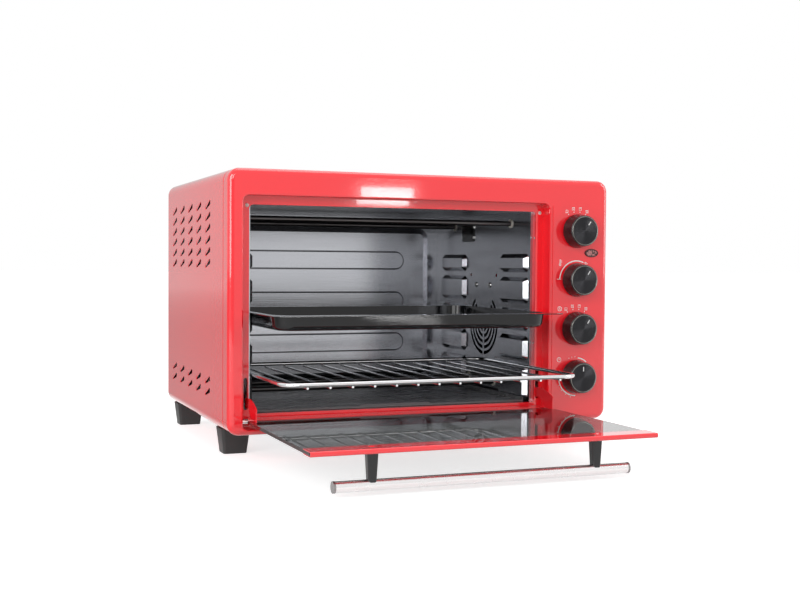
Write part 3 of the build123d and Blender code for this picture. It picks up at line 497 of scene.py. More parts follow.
# %% [markdown]
# ## Moulded plastics and ceramic
# Feet and the cord bush are soft-sheen black plastic with a fine spark-eroded grain. Knob bodies
# and handle posts are glossier. The heater bushes are pale unglazed ceramic. The door's rubber
# stops and the pilot lens's rim are made the same way, and come with their shapes further down. The
# table gives the two tones, the clean and smudged roughness, how fine the grain is and how deep.

# %% Moulded plastics
def moulded(name, dark, light, clean, smudged, grain_size, depth):
    """A plastic or ceramic with a fine moulded texture and slight shifts of tone."""
    material, tree, shader, place = new_finish(name, dark, 0.0, clean)
    smudge(tree, shader, place, 30.0, clean, smudged)
    paint(tree, shader, use_group(tree, edges, Width=0.0008)["Mask"], dark, light)
    raise_surface(tree, shader, noise(tree, grain_size, 3, place), depth, 0.6)
    return material


MOULDED = {
    "foot plastic": ((0.03, 0.03, 0.03), (0.07, 0.07, 0.07), 0.42, 0.55, 1500.0, 0.00015),
    "knob plastic": ((0.008, 0.008, 0.009), (0.03, 0.03, 0.03), 0.16, 0.28, 900.0, 0.00003),
    "control case plastic": ((0.05, 0.05, 0.055), (0.1, 0.1, 0.1), 0.4, 0.5, 1200.0, 0.0001),
    "bush ceramic": ((0.72, 0.69, 0.62), (0.8, 0.78, 0.72), 0.45, 0.6, 1800.0, 0.0001),
    "pale stop rubber": ((0.62, 0.60, 0.57), (0.72, 0.70, 0.67), 0.5, 0.65, 1600.0, 0.00005),
    "pilot rim plastic": ((0.045, 0.003, 0.004), (0.12, 0.01, 0.012), 0.18, 0.28, 1200.0, 0.00002),
}
plastic = {name: moulded(name, *values) for name, values in MOULDED.items()}
give(plastic["foot plastic"], "foot_front_left", "foot_front_right", "foot_rear_left",
     "foot_rear_right", "cord_outlet")
give(plastic["knob plastic"], *(f"knob_{knob}" for knob in KNOBS), "handle_post_left",
     "handle_post_right")
give(plastic["control case plastic"], "upper_heat_switch", "thermostat", "function_switch", "timer")
give(plastic["bush ceramic"], "heater_bushes")

# %% [markdown]
# ## Knob caps
# Each knob has a black metal cap that was turned on a lathe. Its fine rings spread every reflection
# into pale wedges that meet at the centre. The rings are too fine for a bump, which works between
# neighbouring points of the picture, so this group tilts the surface's normal itself: towards the
# knob's axis and away from it again, in a sine of the distance. It takes the axis as an input.

# %% Turned rings
turned_rings, given, result = new_group(
    "Turned rings",
    [("Place", "vector", None), ("Centre", "vector", (0.0, 0.0, 0.0)),
     ("Ring spacing", "float", 0.0004), ("Slope", "float", 0.48)],
    [("Rings", "float", None), ("Normal", "vector", None)])
offset = vector_node(turned_rings, "SUBTRACT", given["Place"], given["Centre"])
flat = vector_node(turned_rings, "MULTIPLY", offset.outputs[0], (1, 0, 1))
away = vector_node(turned_rings, "LENGTH", flat.outputs[0])
outward = vector_node(turned_rings, "NORMALIZE", flat.outputs[0])
phase = math_node(turned_rings, "DIVIDE", away.outputs["Value"], given["Ring spacing"])
rings = math_node(turned_rings, "SINE", times(turned_rings, phase, math.tau))
lean = times(turned_rings, rings, given["Slope"])
tilted = vector_node(turned_rings, "SCALE", outward.outputs[0], amount=lean)
to_world = turned_rings.nodes.new("ShaderNodeVectorTransform")
to_world.vector_type = "VECTOR"
to_world.convert_from = "OBJECT"
to_world.convert_to = "WORLD"
turned_rings.links.new(tilted.outputs[0], to_world.inputs[0])
normal = turned_rings.nodes.new("ShaderNodeNewGeometry").outputs["Normal"]
summed = vector_node(turned_rings, "ADD", normal, to_world.outputs[0])
unit = vector_node(turned_rings, "NORMALIZE", summed.outputs[0])
turned_rings.links.new(rings, result["Rings"])
turned_rings.links.new(unit.outputs[0], result["Normal"])
print(turned_rings.name, "gives rings and a normal")

# %% [markdown]
# Each cap gets a finish of its own, because the rings need to know where its axis is.

# %% Cap metal, one for each knob
CAP_DARK = (0.020, 0.020, 0.022)
CAP_LIGHT = (0.042, 0.042, 0.045)
RING_SPACING = 0.00045


def corners_of(name):
    """The low corner, the high corner and the middle of a solid piece."""
    low, high = (Vector(corner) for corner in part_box(name))
    return low, high, (low + high) / 2


knob_middles = {}
for knob in KNOBS:
    knob_middles[knob] = corners_of(f"knob_cap_{knob}")[2]
    cap, tree, shader, place = new_finish(f"knob cap metal {knob}", CAP_LIGHT, 1.0, 0.24)
    turned = use_group(tree, turned_rings, place, Centre=tuple(knob_middles[knob]),
                       Ring_spacing=RING_SPACING)
    paint(tree, shader, turned["Rings"], CAP_DARK, CAP_LIGHT)
    tree.links.new(turned["Normal"], shader.inputs["Normal"])
    give(cap, f"knob_cap_{knob}")

# %% [markdown]
# ## Glass
# The door is a sheet of grey tempered glass. Light passes straight through it, so transmission
# does the work, and the grey tint dims what lies behind it while its own reflections stay bright.
# The lamp's window is nearly black. The pilot lens is a very dark red with real facets, and its
# facets are painted paler pink as painted glints.

# %% Door glass, lamp window and pilot lens
LENS_DARK, LENS_GLINT_PINK = (0.02, 0.004, 0.004), (0.50, 0.20, 0.19)
door_glass, tree, shader, place = new_finish("door glass", (0.24, 0.25, 0.25), roughness=0.01,
                                             Transmission_Weight=1.0, IOR=1.5)
smudge(tree, shader, place, 6.0, 0.008, 0.03)
give(door_glass, "door_glass")
lamp_glass, tree, shader, place = new_finish("lamp window glass", (0.02, 0.02, 0.02),
                                             roughness=0.1)
smudge(tree, shader, place, 40.0, 0.06, 0.2)
give(lamp_glass, "lamp_glass")
lens_finish, tree, shader, place = new_finish("pilot lens", (0.25, 0.05, 0.05), roughness=0.14)
facets_and_glints = rising(tree, noise(tree, 420.0, 1, place), 0.42, 0.58)
raise_surface(tree, shader, facets_and_glints, 0.0003, 0.5)
# The paler pink on the facets is a painted glint; the bump above gives the real facets.
paint(tree, shader, facets_and_glints, LENS_DARK, LENS_GLINT_PINK)
give(lens_finish, "pilot_lens")

# %% [markdown]
# ## Building small pieces
# The pieces below are too small or too plain to be worth a solid of their own. Each is built point
# by point. The first helper turns a finished mesh into a piece that rides on one of the oven's
# bodies. The second joins outlines, one after another, into a tube. The third spins a profile round
# an axis, as a lathe does, which suits rings and domes.

# %% Mesh helpers
def mesh_piece(name, bm, material, body, smooth=True):
    """Turn a bmesh into a piece with a finish that rides on one of the oven's bodies."""
    mesh = bpy.data.meshes.new(name)
    bmesh.ops.recalc_face_normals(bm, faces=bm.faces)
    bm.to_mesh(mesh)
    bm.free()
    mesh.materials.append(material)
    for face in mesh.polygons:
        face.use_smooth = smooth
    if smooth:
        mesh.set_sharp_from_angle(angle=math.radians(35))
    piece = bpy.data.objects.new(name, mesh)
    scene.collection.objects.link(piece)
    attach(piece, body)
    return piece


def join(bm, outlines):
    """Join each closed outline of points to the next with faces."""
    for first, second in zip(outlines, outlines[1:]):
        for corner in range(len(first)):
            after = (corner + 1) % len(first)
            bm.faces.new((first[corner], first[after], second[after], second[corner]))


def cap_ends(bm, outlines):
    """Close the first and the last outline."""
    for outline in (outlines[0], outlines[-1]):
        bm.faces.new(outline)


def lathe(bm, points, middle, axis, steps=48, stretch=(1, 1)):
    """Spin (radius, height) points round an axis. A profile off the axis closes on itself."""
    axis = Vector(axis).normalized()
    across = Vector((0, 0, 1)) if abs(axis.z) < 0.5 else Vector((1, 0, 0))
    other = axis.cross(across)
    rings = []
    for radius, height in points:
        centre = Vector(middle) + axis * height
        turns = [math.tau * step / steps for step in range(steps)] if radius else [0]
        rings.append([bm.verts.new(centre + across * math.cos(a) * radius * stretch[0]
                                   + other * math.sin(a) * radius * stretch[1]) for a in turns])
    pairs = list(zip(rings, rings[1:])) + ([(rings[-1], rings[0])] if points[0][0] else [])
    for first, second in pairs:
        for step in range(steps):
            after = (step + 1) % steps
            corners = [first[step % len(first)], first[after % len(first)],
                       second[after % len(second)], second[step % len(second)]]
            bm.faces.new(dict.fromkeys(corners))


print("mesh helpers ready")

# %% [markdown]
# ## Rings and pointers on the knobs
# A thin bright ring runs round each knob's face, and white paint fills the pointer groove in its
# cap. Both ride on their own knob, so they turn with it. The pointer is a low bar that lies in the
# groove, a little below the face, as paint does when the face is wiped.

# %% Knob rings and pointers
POINTERS = {"upper_heat": 35, "thermostat": 35, "function": 35, "timer": 0}
RING_PROFILE = [(0.0197, 0.0003), (0.0197, 0.0), (0.01985, -0.0002), (0.02015, -0.0002),
                (0.0203, 0.0), (0.0203, 0.0004)]
POINTER_SIZE = (0.00145, 0.00035, 0.0062)
POINTER_RADIUS = 0.0128
rim_metal = plated("bright knob ring", (0.20, 0.19, 0.17), (0.38, 0.36, 0.33), 0.25, 0.4, 900.0,
                   0.00001)
white_paint, tree, shader, place = new_finish("white paint", (0.8, 0.8, 0.8), roughness=0.4)
paint(tree, shader, noise(tree, 1500.0, 2, place), (0.74, 0.74, 0.73), (0.88, 0.88, 0.87))
for knob in KNOBS:
    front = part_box(f"knob_{knob}")[0][1]
    middle = Vector((knob_middles[knob].x, front, knob_middles[knob].z))
    bm = bmesh.new()
    lathe(bm, RING_PROFILE, middle, (0, 1, 0), steps=72)
    mesh_piece(f"ring_{knob}", bm, rim_metal, f"knob_{knob}")
    bm = bmesh.new()
    bmesh.ops.create_cube(bm, size=1.0)
    bmesh.ops.scale(bm, vec=POINTER_SIZE, verts=bm.verts)
    bmesh.ops.bevel(bm, geom=bm.edges[:], offset=0.0001, segments=2, affect="EDGES")
    bmesh.ops.translate(bm, vec=(0, 0.0003, POINTER_RADIUS), verts=bm.verts)
    bmesh.ops.rotate(bm, cent=(0, 0, 0), verts=bm.verts,
                     matrix=Matrix.Rotation(math.radians(POINTERS[knob]), 3, "Y"))
    bmesh.ops.translate(bm, vec=middle, verts=bm.verts)
    pointer = mesh_piece(f"pointer_{knob}", bm, white_paint, f"knob_{knob}")
    print(pointer.name, "at", tuple(round(v, 4) for v in middle))

# %% [markdown]
# ## Marks on the panel
# Scales and small symbols are printed in white around the knobs. They could be a texture, but the
# strokes are few, so each is a very thin slab set in the enamel, and stays sharp from any distance.
# Only plain strokes, arcs and dots are drawn.

# %% Print strokes
PANEL_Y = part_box("front_bezel")[0][1]
PRINT_PROUD = 0.00005
PRINT_SUNK = 0.0001


def stroke(bm, points, width):
    """A thin slab of even width along (x, z) points on the panel, with square ends."""
    closed = points[0] == points[-1]
    sections = []
    for number, point in enumerate(points):
        last = number == len(points) - 1
        before = Vector(points[number - 1 if number else (-2 if closed else 0)])
        after = Vector(points[(1 if closed else number) if last else number + 1])
        along = (after - before).normalized()
        side = Vector((-along.y, along.x)) * width / 2
        ends = (Vector(point) + side, Vector(point) - side)
        sections.append([bm.verts.new((p.x, PANEL_Y + depth, p.y))
                         for p, depth in ((ends[0], -PRINT_PROUD), (ends[1], -PRINT_PROUD),
                                          (ends[1], PRINT_SUNK), (ends[0], PRINT_SUNK))])
    join(bm, sections)
    cap_ends(bm, sections)


def around(middle, radius, degrees):
    """The (x, z) point at a radius about a knob, with the angle clockwise from the top."""
    angle = math.radians(degrees)
    return (middle.x + radius * math.sin(angle), middle.z + radius * math.cos(angle))


def arc(middle, radius, start, end, steps=24):
    """Points on an arc about a knob."""
    return [around(middle, radius, start + (end - start) * step / steps)
            for step in range(steps + 1)]


def tick(bm, middle, degrees, inner, outer, width):
    """A short line that points away from a knob."""
    stroke(bm, [around(middle, inner, degrees), around(middle, outer, degrees)], width)


def ring(bm, x, z, radius, width):
    """A small drawn circle."""
    turns = [math.tau * step / 20 for step in range(20)]
    points = [(x + radius * math.sin(a), z + radius * math.cos(a)) for a in turns]
    stroke(bm, points + points[:1], width)


print("panel face at y =", round(PANEL_Y, 5))

# %% [markdown]
# The two knobs with four positions have a dot and a small box for each. The other two have arcs
# with ticks. The last three knobs also have a plain symbol at their upper left: a thermometer, a
# fan and a clock. Widths and distances are in metres, and angles are clockwise from the top.

# %% Scales and symbols
FINE = 0.0006
BOLD = 0.0015
DOT = 0.0012
DOTS = 0.0277
SYMBOLS = 0.0324
SCALE = 0.0273
HALF_BOX = 0.0019
HALF_BAR = 0.0011
BAR_OFFSET = 0.0009
SYMBOL_RADIUS = 0.0031
FAN_BLADE = 0.0022
STOPS = (-31, -11, 9, 29.7)
TIMER_TICKS = (((195, 212, 229, 246, 262), 0, 0.0032, FINE),
               ((274, 281, 288), -0.0006, 0.0012, DOT),
               ((-22, -12, -2), 0.0008, 0.0022, FINE))
bm = bmesh.new()
for knob in ("upper_heat", "function"):
    middle = knob_middles[knob]
    for number, degrees in enumerate(STOPS):
        tick(bm, middle, degrees, DOTS - DOT / 2, DOTS + DOT / 2, DOT)
        x, z = around(middle, SYMBOLS, degrees)
        corners = [(x + a * HALF_BOX, z + b * HALF_BOX)
                   for a, b in ((-1, -1), (1, -1), (1, 1), (-1, 1))]
        stroke(bm, corners + corners[:1], FINE)
        for bar, shown in ((BAR_OFFSET, number > 0), (-BAR_OFFSET, number != 2)):
            if shown:
                stroke(bm, [(x - HALF_BAR, z + bar), (x + HALF_BAR, z + bar)], FINE)
middle = knob_middles["thermostat"]
stroke(bm, arc(middle, SCALE, -88, 24, 48), BOLD)
tick(bm, middle, -88, 0.0254, 0.032, FINE)
ring(bm, *around(middle, SCALE + 0.001, 31), 0.0013, FINE)
tick(bm, middle, 37, SCALE, SCALE + 0.003, FINE)
x, z = middle.x - 0.027, middle.z + 0.0245
ring(bm, x, z - 0.0026, 0.0014, 0.0009)
stroke(bm, [(x, z - 0.0012), (x, z + 0.0046)], DOT)
for step in range(3):
    bar = z + 0.0004 + 0.0016 * step
    stroke(bm, [(x + 0.0016, bar), (x + 0.003, bar)], FINE)
middle = knob_middles["function"]
x, z = middle.x - 0.0268, middle.z + 0.0284
ring(bm, x, z, SYMBOL_RADIUS, FINE)
for degrees in (0, 120, 240):
    angle = math.radians(degrees)
    tip = (x + FAN_BLADE * math.sin(angle), z + FAN_BLADE * math.cos(angle))
    stroke(bm, [(x, z), tip], FINE)
middle = knob_middles["timer"]
stroke(bm, arc(middle, SCALE, 8, 40, 16), BOLD)
stroke(bm, arc(middle, SCALE, 180, 262, 40), BOLD)
for angles, inner, outer, width in TIMER_TICKS:
    for degrees in angles:
        tick(bm, middle, degrees, SCALE + inner, SCALE + outer, width)
x, z = middle.x - 0.027, middle.z + 0.025
ring(bm, x, z, SYMBOL_RADIUS, FINE)
stroke(bm, [(x, z + 0.002), (x, z), (x + 0.0014, z)], FINE)
panel_marks = mesh_piece("panel_marks", bm, white_paint, "cabinet", smooth=False)
print("panel marks:", len(panel_marks.data.polygons), "faces")

# %% [markdown]
# ## Louvre blades
# Each slot in the sides is a louvre: the metal of the slot is not cut away but bent in a little
# along its upper edge. The blade is wider at the rear, so the dark opening narrows towards the back
# like a drop. One blade is a thin bent strip with a real thickness, repeated for all the slots.

# %% Louvre blades
SIDE_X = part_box("outer_wrap")[1][0]
LOUVRE_FIRST = 0.121
LOUVRE_PITCH = 0.0585
LOUVRE_ROW = 0.016
LOUVRE_ROWS = [top_row - LOUVRE_ROW * row for top_row, rows in ((0.302, 6), (0.0619, 2))
               for row in range(rows)]
LOUVRE_TILT = math.radians(-13)
BLADE_HALF = 0.0146
BLADE_STEPS = 8
BLADE_DROP = 0.0046
BLADE_SHEET = 0.0004


def louvre_blade(bm, y, z, side):
    """One inward blade, hung from the slot's upper edge, covering more of the slot at its rear."""
    columns = []
    for number in range(BLADE_STEPS + 1):
        along = -BLADE_HALF + 2 * BLADE_HALF * number / BLADE_STEPS
        drop = BLADE_DROP * number / BLADE_STEPS
        outline = [(0.0039, 0.0001), (0.0037 - drop * 0.5, 0.0002), (0.0037 - drop, 0.0003)]
        outline += [(across, inward + BLADE_SHEET) for across, inward in reversed(outline)]
        column = []
        for across, inward in outline:
            dy = along * math.cos(LOUVRE_TILT) - across * math.sin(LOUVRE_TILT)
            dz = along * math.sin(LOUVRE_TILT) + across * math.cos(LOUVRE_TILT)
            column.append(bm.verts.new((side * (SIDE_X - inward), y + dy, z + dz)))
        columns.append(column)
    join(bm, columns)
    cap_ends(bm, columns)


for side_name, side in (("left", -1), ("right", 1)):
    bm = bmesh.new()
    for height in LOUVRE_ROWS:
        for column in range(5):
            louvre_blade(bm, PANEL_Y + LOUVRE_FIRST + LOUVRE_PITCH * column,
                         FLOOR_TO_CASE + height, side)
    blades = mesh_piece(f"louvre_blades_{side_name}", bm, enamel, "cabinet")
    print(blades.name, len(blades.data.polygons), "faces")

# %% [markdown]
# ## Screws
# The CAD shows the screws as plain rods. Seen close, each is a low domed head with a cross recess.
# A cross cannot be turned on a lathe, so the head's ring of points has one point for every corner
# of the cross and one between each two, and faces join the ring to the cross and the cross to its
# floor. These heads replace the rods, which stay in the physics.

# %% A screw with a cross recess
CROSS = [(0.13, 0.48), (0.13, 0.13), (0.48, 0.13)]


def screw(bm, middle, axis, radius, height, shank_radius=0.0, shank=0.0):
    """A domed head that stands on a surface, its cross recess, and a shank that goes into it."""
    axis = Vector(axis).normalized()
    across = axis.orthogonal().normalized()
    other = axis.cross(across)

    def place_point(u, v, h):
        return bm.verts.new(Vector(middle) + (across * u + other * v) * radius + axis * h)

    outline = []
    for quarter in range(4):
        c, s = (1, 0, -1, 0)[quarter], (0, 1, 0, -1)[quarter]
        outline += [(u * c - v * s, u * s + v * c) for u, v in reversed(CROSS)]
    turns = [math.atan2(v, u) for u, v in outline]
    spread = []
    for number, angle in enumerate(turns):
        following = turns[(number + 1) % len(turns)]
        spread += [angle, angle + ((following - angle) % math.tau) / 2]
    profile = [(shank_radius / radius, -shank), (shank_radius / radius, 0)] if shank else []
    profile += [(1, 0), (1, height * 0.3), (0.92, height * 0.66), (0.78, height * 0.9),
                (0.62, height)]
    rings = [[place_point(r * math.cos(a), r * math.sin(a), h) for a in spread]
             for r, h in profile]
    join(bm, rings)
    bm.faces.new(rings[0])
    rim = [place_point(u, v, height) for u, v in outline]
    floor_points = [place_point(u * 0.8, v * 0.8, height * 0.35) for u, v in outline]
    bottom = place_point(0, 0, height * 0.25)
    for number in range(len(rim)):
        after = (number + 1) % len(rim)
        bm.faces.new((rings[-1][2 * number], rings[-1][2 * number + 1], rings[-1][2 * after],
                      rim[after], rim[number]))
        bm.faces.new((rim[number], rim[after], floor_points[after], floor_points[number]))
        bm.faces.new((floor_points[number], floor_points[after], bottom))


print("screw helper ready")

# %% [markdown]
# Eight screws hold the rear cover, and two hold the fan's box to the right wall of the cavity. The
# heights count from the case's lower edge and the depths from the panel's face.

# %% Screws at the back and over the fan
REAR_SCREW_X = (-0.24, -0.08, 0.08, 0.24)
REAR_SCREW_HEIGHTS = (0.016, 0.329)
REAR_RADIUS, REAR_RISE = 0.0036, 0.0019
RIGHT_WALL = 0.1685
FAN_SCREW_DEPTHS = (0.1583, 0.207)
FAN_SCREW_HEIGHT = 0.1915
FAN_RADIUS, FAN_RISE = 0.0040, 0.0018
FAN_SHANK_RADIUS, FAN_SHANK = 0.0022, 0.008
bm = bmesh.new()
rear_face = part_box("rear_screws")[0][1]
for x in REAR_SCREW_X:
    for height in REAR_SCREW_HEIGHTS:
        screw(bm, (x, rear_face, FLOOR_TO_CASE + height), (0, 1, 0), REAR_RADIUS, REAR_RISE)
rear_heads = mesh_piece("rear_screw_heads", bm, metal["zinc plated steel"], "cabinet")
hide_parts("rear_screws")
bm = bmesh.new()
for depth in FAN_SCREW_DEPTHS:
    screw(bm, (RIGHT_WALL, PANEL_Y + depth, FLOOR_TO_CASE + FAN_SCREW_HEIGHT), (-1, 0, 0),
          FAN_RADIUS, FAN_RISE, FAN_SHANK_RADIUS, FAN_SHANK)
fan_heads = mesh_piece("fan_screw_heads", bm, metal["zinc plated steel"], "cabinet")
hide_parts("fan_screws")
print("screw heads:", len(rear_heads.data.polygons) + len(fan_heads.data.polygons), "faces")

# %% [markdown]
# The handle is held by two screws through the door. Their heads are low and painted with the
# channel, so they hardly show from the front. They are turned on the lathe as shallow domes.

# %% Handle screws
HANDLE_SCREW = [(0, 0.0007), (0.0018, 0.00062), (0.0034, 0.0003), (0.0041, 0.0), (0.0020, 0.0),
                (0.0020, -0.0150), (0, -0.0150)]
AXIS_INSET = 0.0042
CHANNEL_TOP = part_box("door_top_channel")[1][2]
bm = bmesh.new()
low, high, middle = corners_of("handle_screws")
for x in (low.x + AXIS_INSET, high.x - AXIS_INSET):
    lathe(bm, HANDLE_SCREW, (x, middle.y, CHANNEL_TOP), (0, 0, 1), steps=32)
    print("handle screw at x =", round(x, 4))
handle_heads = mesh_piece("handle_screw_heads", bm, enamel, "door")
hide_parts("handle_screws")

# %% [markdown]
# ## Stops, catches and clips
# Two pale rubber domes in the recess stop the door glass from knocking on the steel. Two bright
# catch pins show in the edge of the opening. All are small, but the eye looks for them.

# %% Rubber stops and catch pins
RECESS_Y = PANEL_Y + 0.019
STOP = [(0, 0.00085), (0.0011, 0.00078), (0.0020, 0.0005), (0.0026, 0.0), (0.0026, -0.0004),
        (0, -0.0004)]
STOP_PLACES = ((-0.251, 0.2979), (0.1783, 0.2974))
RETURN_X = 0.172
PIN_Y = PANEL_Y + 0.0235
PIN = [(0, 0.0008), (0.0009, 0.0006), (0.0015, 0.0001), (0.0016, -0.0006), (0.0016, -0.004),
       (0, -0.004)]
PIN_HEIGHTS = (0.111, 0.2615)
bm = bmesh.new()
for x, height in STOP_PLACES:
    lathe(bm, STOP, (x, RECESS_Y, FLOOR_TO_CASE + height), (0, -1, 0), steps=32)
stops = mesh_piece("door_stops", bm, plastic["pale stop rubber"], "cabinet")
bm = bmesh.new()
for height in PIN_HEIGHTS:
    lathe(bm, PIN, (RETURN_X, PIN_Y, FLOOR_TO_CASE + height), (-1, 0, 0), steps=24)
catches = mesh_piece("catch_pins", bm, metal["rack chrome"], "cabinet")
print(stops.name, "and", catches.name)

# %% [markdown]
# Four bent clips hold the window over the lamp. A clip is one outline, drawn seen from above, given
# a width: it stands on the wall, steps up and ends over the glass.

# %% Lamp clips
CLIP = [(0.0035, -0.0001), (0.0035, 0.0005), (0.0007, 0.0006), (0.0003, 0.0021), (-0.0026, 0.0021),
        (-0.0026, 0.00155), (-0.0002, 0.00155), (0.0, -0.0001)]
CLIP_HALF = 0.0016
CLIP_LEVEL = 0.008
LAMP_Y = PANEL_Y + 0.2375
LAMP_Z = FLOOR_TO_CASE + 0.2738
WINDOW_HALF = 0.02175
bm = bmesh.new()
for edge, level in ((-1, -CLIP_LEVEL), (-1, CLIP_LEVEL), (1, -CLIP_LEVEL), (1, CLIP_LEVEL)):
    slices = []
    for z in (LAMP_Z + level - CLIP_HALF, LAMP_Z + level + CLIP_HALF):
        slices.append([bm.verts.new((RIGHT_WALL - rise, LAMP_Y + edge * (WINDOW_HALF + out), z))
                       for out, rise in CLIP])
    join(bm, slices)
    cap_ends(bm, slices)
clips = mesh_piece("lamp_clips", bm, metal["zinc plated steel"], "cabinet", smooth=False)
print(clips.name, len(clips.data.polygons), "faces")

# %% [markdown]
# A dark red rim frames the pilot lens. It is turned on the lathe too and stretched to the lens's
# oval, so its radii are shares of the lens's own.

# %% Pilot rim
PILOT_RIM = [(0.76, 0.0006), (0.77, -0.0002), (0.86, -0.0005), (0.98, -0.0003), (1.05, 0.0009),
             (1.05, 0.0013)]
low, high, middle = corners_of("pilot_lens")
bm = bmesh.new()
lathe(bm, PILOT_RIM, (middle.x, low.y, middle.z), (0, 1, 0), steps=56,
      stretch=((high.z - low.z) / 2, (high.x - low.x) / 2))
pilot_rim = mesh_piece("pilot_rim", bm, plastic["pilot rim plastic"], "cabinet")
print(pilot_rim.name, "round a lens", round(high.x - low.x, 4), "wide")

# %% [markdown]
# ## Floor, room and lamps
# The oven stands on plain white, and the room is white all round. The world looks full white to the
# camera, and gives a softer light to surfaces. In reflections it is white too, apart from two
# dimmer parts of the studio: where the camera stands, and behind the oven's left side. Without them
# the liner's corners and the case's side would turn pale.

# %% Helpers for the room's light
DIMMING = 0.42


def dim_part(tree, towards, full, none):
    """How much darker the room is near a direction, between two angles in degrees from it."""
    direction = tree.nodes.new("ShaderNodeTexCoord").outputs["Generated"]
    closeness = vector_node(tree, "DOT_PRODUCT", direction, tuple(Vector(towards).normalized()))
    low, high = math.cos(math.radians(none)), math.cos(math.radians(full))
    fall_off = rising(tree, closeness.outputs["Value"], low, high)
    fall_off.node.interpolation_type = "SMOOTHSTEP"
    fall_off.node.inputs["To Max"].default_value = DIMMING
    return fall_off


def ray_kinds(tree):
    """Whether a ray comes from the camera or through glass, and whether it was mirrored."""
    rays = tree.nodes.new("ShaderNodeLightPath").outputs
    direct = math_node(tree, "MAXIMUM", rays["Is Camera Ray"], rays["Is Transmission Ray"])
    return direct, rays["Is Glossy Ray"]


print("room helpers ready")

# %% [markdown]
# The world's strength is put together from these: full for the camera and through glass, the dimmed
# room in reflections, and the softer light for everything else.

# %% Room
WORLD_LIGHT = 0.55
scene.view_settings.view_transform = "Standard"
world = bpy.data.worlds.new("white room")
scene.world = world
world.use_nodes = True
tree = world.node_tree
background = tree.nodes["Background"]
background.inputs["Color"].default_value = (1, 1, 1, 1)
camera_side = dim_part(tree, (-0.38, -0.92, 0.04), 14, 34)
rear_left = dim_part(tree, (-0.21, 0.98, 0.0), 16, 34)
mirrored = minus(tree, minus(tree, 1.0, camera_side), rear_left)
direct, glossy = ray_kinds(tree)
extra = times(tree, minus(tree, times(tree, glossy, mirrored), WORLD_LIGHT), glossy)
level = plus(tree, times(tree, direct, 1 - WORLD_LIGHT), extra)
level = plus(tree, level, WORLD_LIGHT)
tree.links.new(math_node(tree, "MINIMUM", level, 1.0), background.inputs["Strength"])
print("white room ready")

# %% [markdown]
# The floor is a sheet of white paper that ends a little behind the camera. It glows just enough to
# the camera, to glass and in reflections to reach the same white as the room, and it still takes
# the oven's shadow. At the left rear it has a dark card that only reflections show: the case's side
# mirrors it and keeps its deep red. The card fades in over its edges and pales with distance.

# %% Floor finish
FLOOR_GLOW = 0.68
FLOOR_GLOW_MIRRORED = 0.5
CARD_FADE_X = (-0.27, -0.33)
CARD_FADE_Y = (-0.3, 0.1)
CARD_PALING = (10.0, 1.0)
CARD_FAR = 0.5
CARD_AMOUNT = 0.5
CARD_GREY = (0.2, 0.2, 0.2)
floor_finish, tree, shader, place = new_finish("white floor", (0.60, 0.60, 0.60), roughness=0.6)
shader.inputs["Specular IOR Level"].default_value = 0.1
shader.inputs["Emission Color"].default_value = (1, 1, 1, 1)
speck = noise(tree, 3.0, 2, place)
paper = blend_colours(tree, speck, (0.59, 0.59, 0.59), (0.61, 0.61, 0.61))
direct, glossy = ray_kinds(tree)
point = axes(tree, place)
card = times(tree, rising(tree, point["X"], *CARD_FADE_X),
             rising(tree, point["Y"], *CARD_FADE_Y))
nearness = rising(tree, point["Y"], *CARD_PALING)
nearness = plus(tree, times(tree, nearness, 1 - CARD_FAR), CARD_FAR)
card = times(tree, card, nearness)
dulled = times(tree, times(tree, card, glossy), CARD_AMOUNT)
paint(tree, shader, dulled, paper, CARD_GREY)
seen = times(tree, direct, FLOOR_GLOW)
mirrored = times(tree, glossy, FLOOR_GLOW_MIRRORED)
mirrored = times(tree, mirrored, minus(tree, 1.0, card))
tree.links.new(math_node(tree, "MAXIMUM", seen, mirrored), shader.inputs["Emission Strength"])
print(floor_finish.name, "ready")

# %% [markdown]
# The sheet is one large face that reaches far behind the oven. It is part of the studio and not of
# the oven.

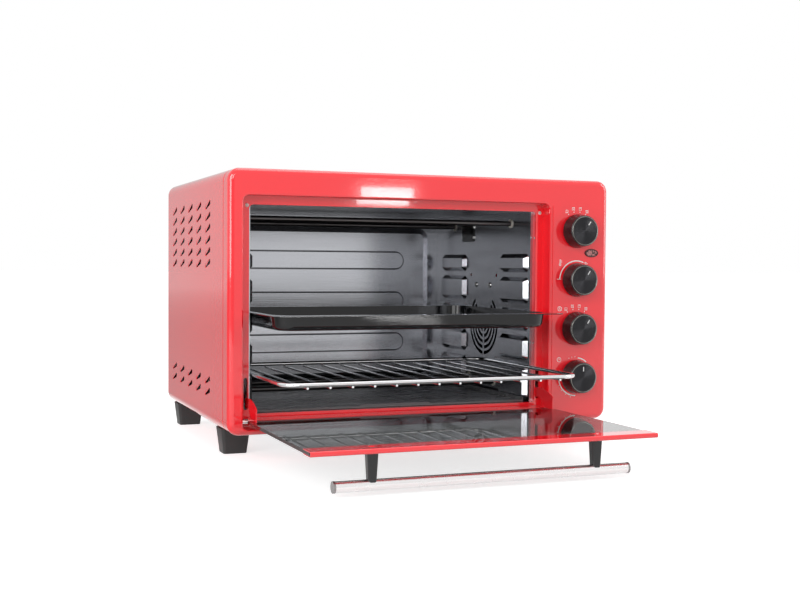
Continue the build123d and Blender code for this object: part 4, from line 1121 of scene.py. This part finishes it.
# %% Floor sheet
FLOOR_CORNERS = ((-30, -2.2, 0), (30, -2.2, 0), (30, 30, 0), (-30, 30, 0))
bm = bmesh.new()
bm.faces.new([bm.verts.new(corner) for corner in FLOOR_CORNERS])
mesh = bpy.data.meshes.new("floor")
bm.to_mesh(mesh)
bm.free()
mesh.materials.append(floor_finish)
floor = bpy.data.objects.new("floor", mesh)
scene.collection.objects.link(floor)
print("floor from", FLOOR_CORNERS[0], "to", FLOOR_CORNERS[2])

# %% [markdown]
# Four large soft lamps shape the case: a tall one on each side, whose reflections run down the
# rounded edges, one overhead, and one beside the camera that reaches into the door's recess. Three
# narrow ones only draw bright streaks, along the top of the front, along the tray's rim and across
# its front wall. Their places come from following the camera's line of sight from each streak off
# the surface and back into the room. A studio keeps such lamps to one surface with black flags.
# Here light linking does that. Each lamp below has its place, what it faces, its width and height
# in metres and its power in watts.

# %% Lamps
def soft_lamp(name, place, target, width, height, power, only_on=()):
    """A rectangular area lamp that faces a target, and can be kept to some of the solid pieces."""
    data = bpy.data.lights.new(name, "AREA")
    data.shape = "RECTANGLE"
    data.size, data.size_y = width, height
    data.energy = power
    lamp = bpy.data.objects.new(name, data)
    lamp.location = place
    lamp.rotation_euler = (Vector(target) - Vector(place)).to_track_quat("-Z", "Y").to_euler()
    scene.collection.objects.link(lamp)
    if only_on:
        lit = bpy.data.collections.new("lit by the " + name)
        for piece in only_on:
            lit.objects.link(nodes[piece])
        lamp.light_linking.receiver_collection = lit
        lamp.visible_camera = False


OVEN = Vector((0, 0, 0.2))
RED_FRONT = ("front_bezel", "outer_wrap")
TRAY = ("baking_tray",)
soft_lamp("left softbox", (-2.5, -1.3, 1.15), OVEN, 1.5, 2.0, 44)
soft_lamp("right softbox", (2.4, -1.1, 1.15), OVEN, 1.0, 2.0, 22)
soft_lamp("front fill", (-1.2, -2.5, 1.3), OVEN, 1.2, 1.0, 14)
soft_lamp("top softbox", (0.2, 0.2, 2.6), OVEN, 2.0, 2.0, 18)
soft_lamp("front streak", (0.645, -1.9, 0.462), (0.645, 0, 0.462), 0.17, 0.05, 0.36, RED_FRONT)
soft_lamp("rim streak", (0.468, -1.9, 0.111), (0.468, 0, 0.111), 0.576, 0.014, 0.5, TRAY)
soft_lamp("wall streak", (0.146, -0.62, 0.018), (-0.064, -0.125, 0.187), 0.13, 0.007, 0.045, TRAY)
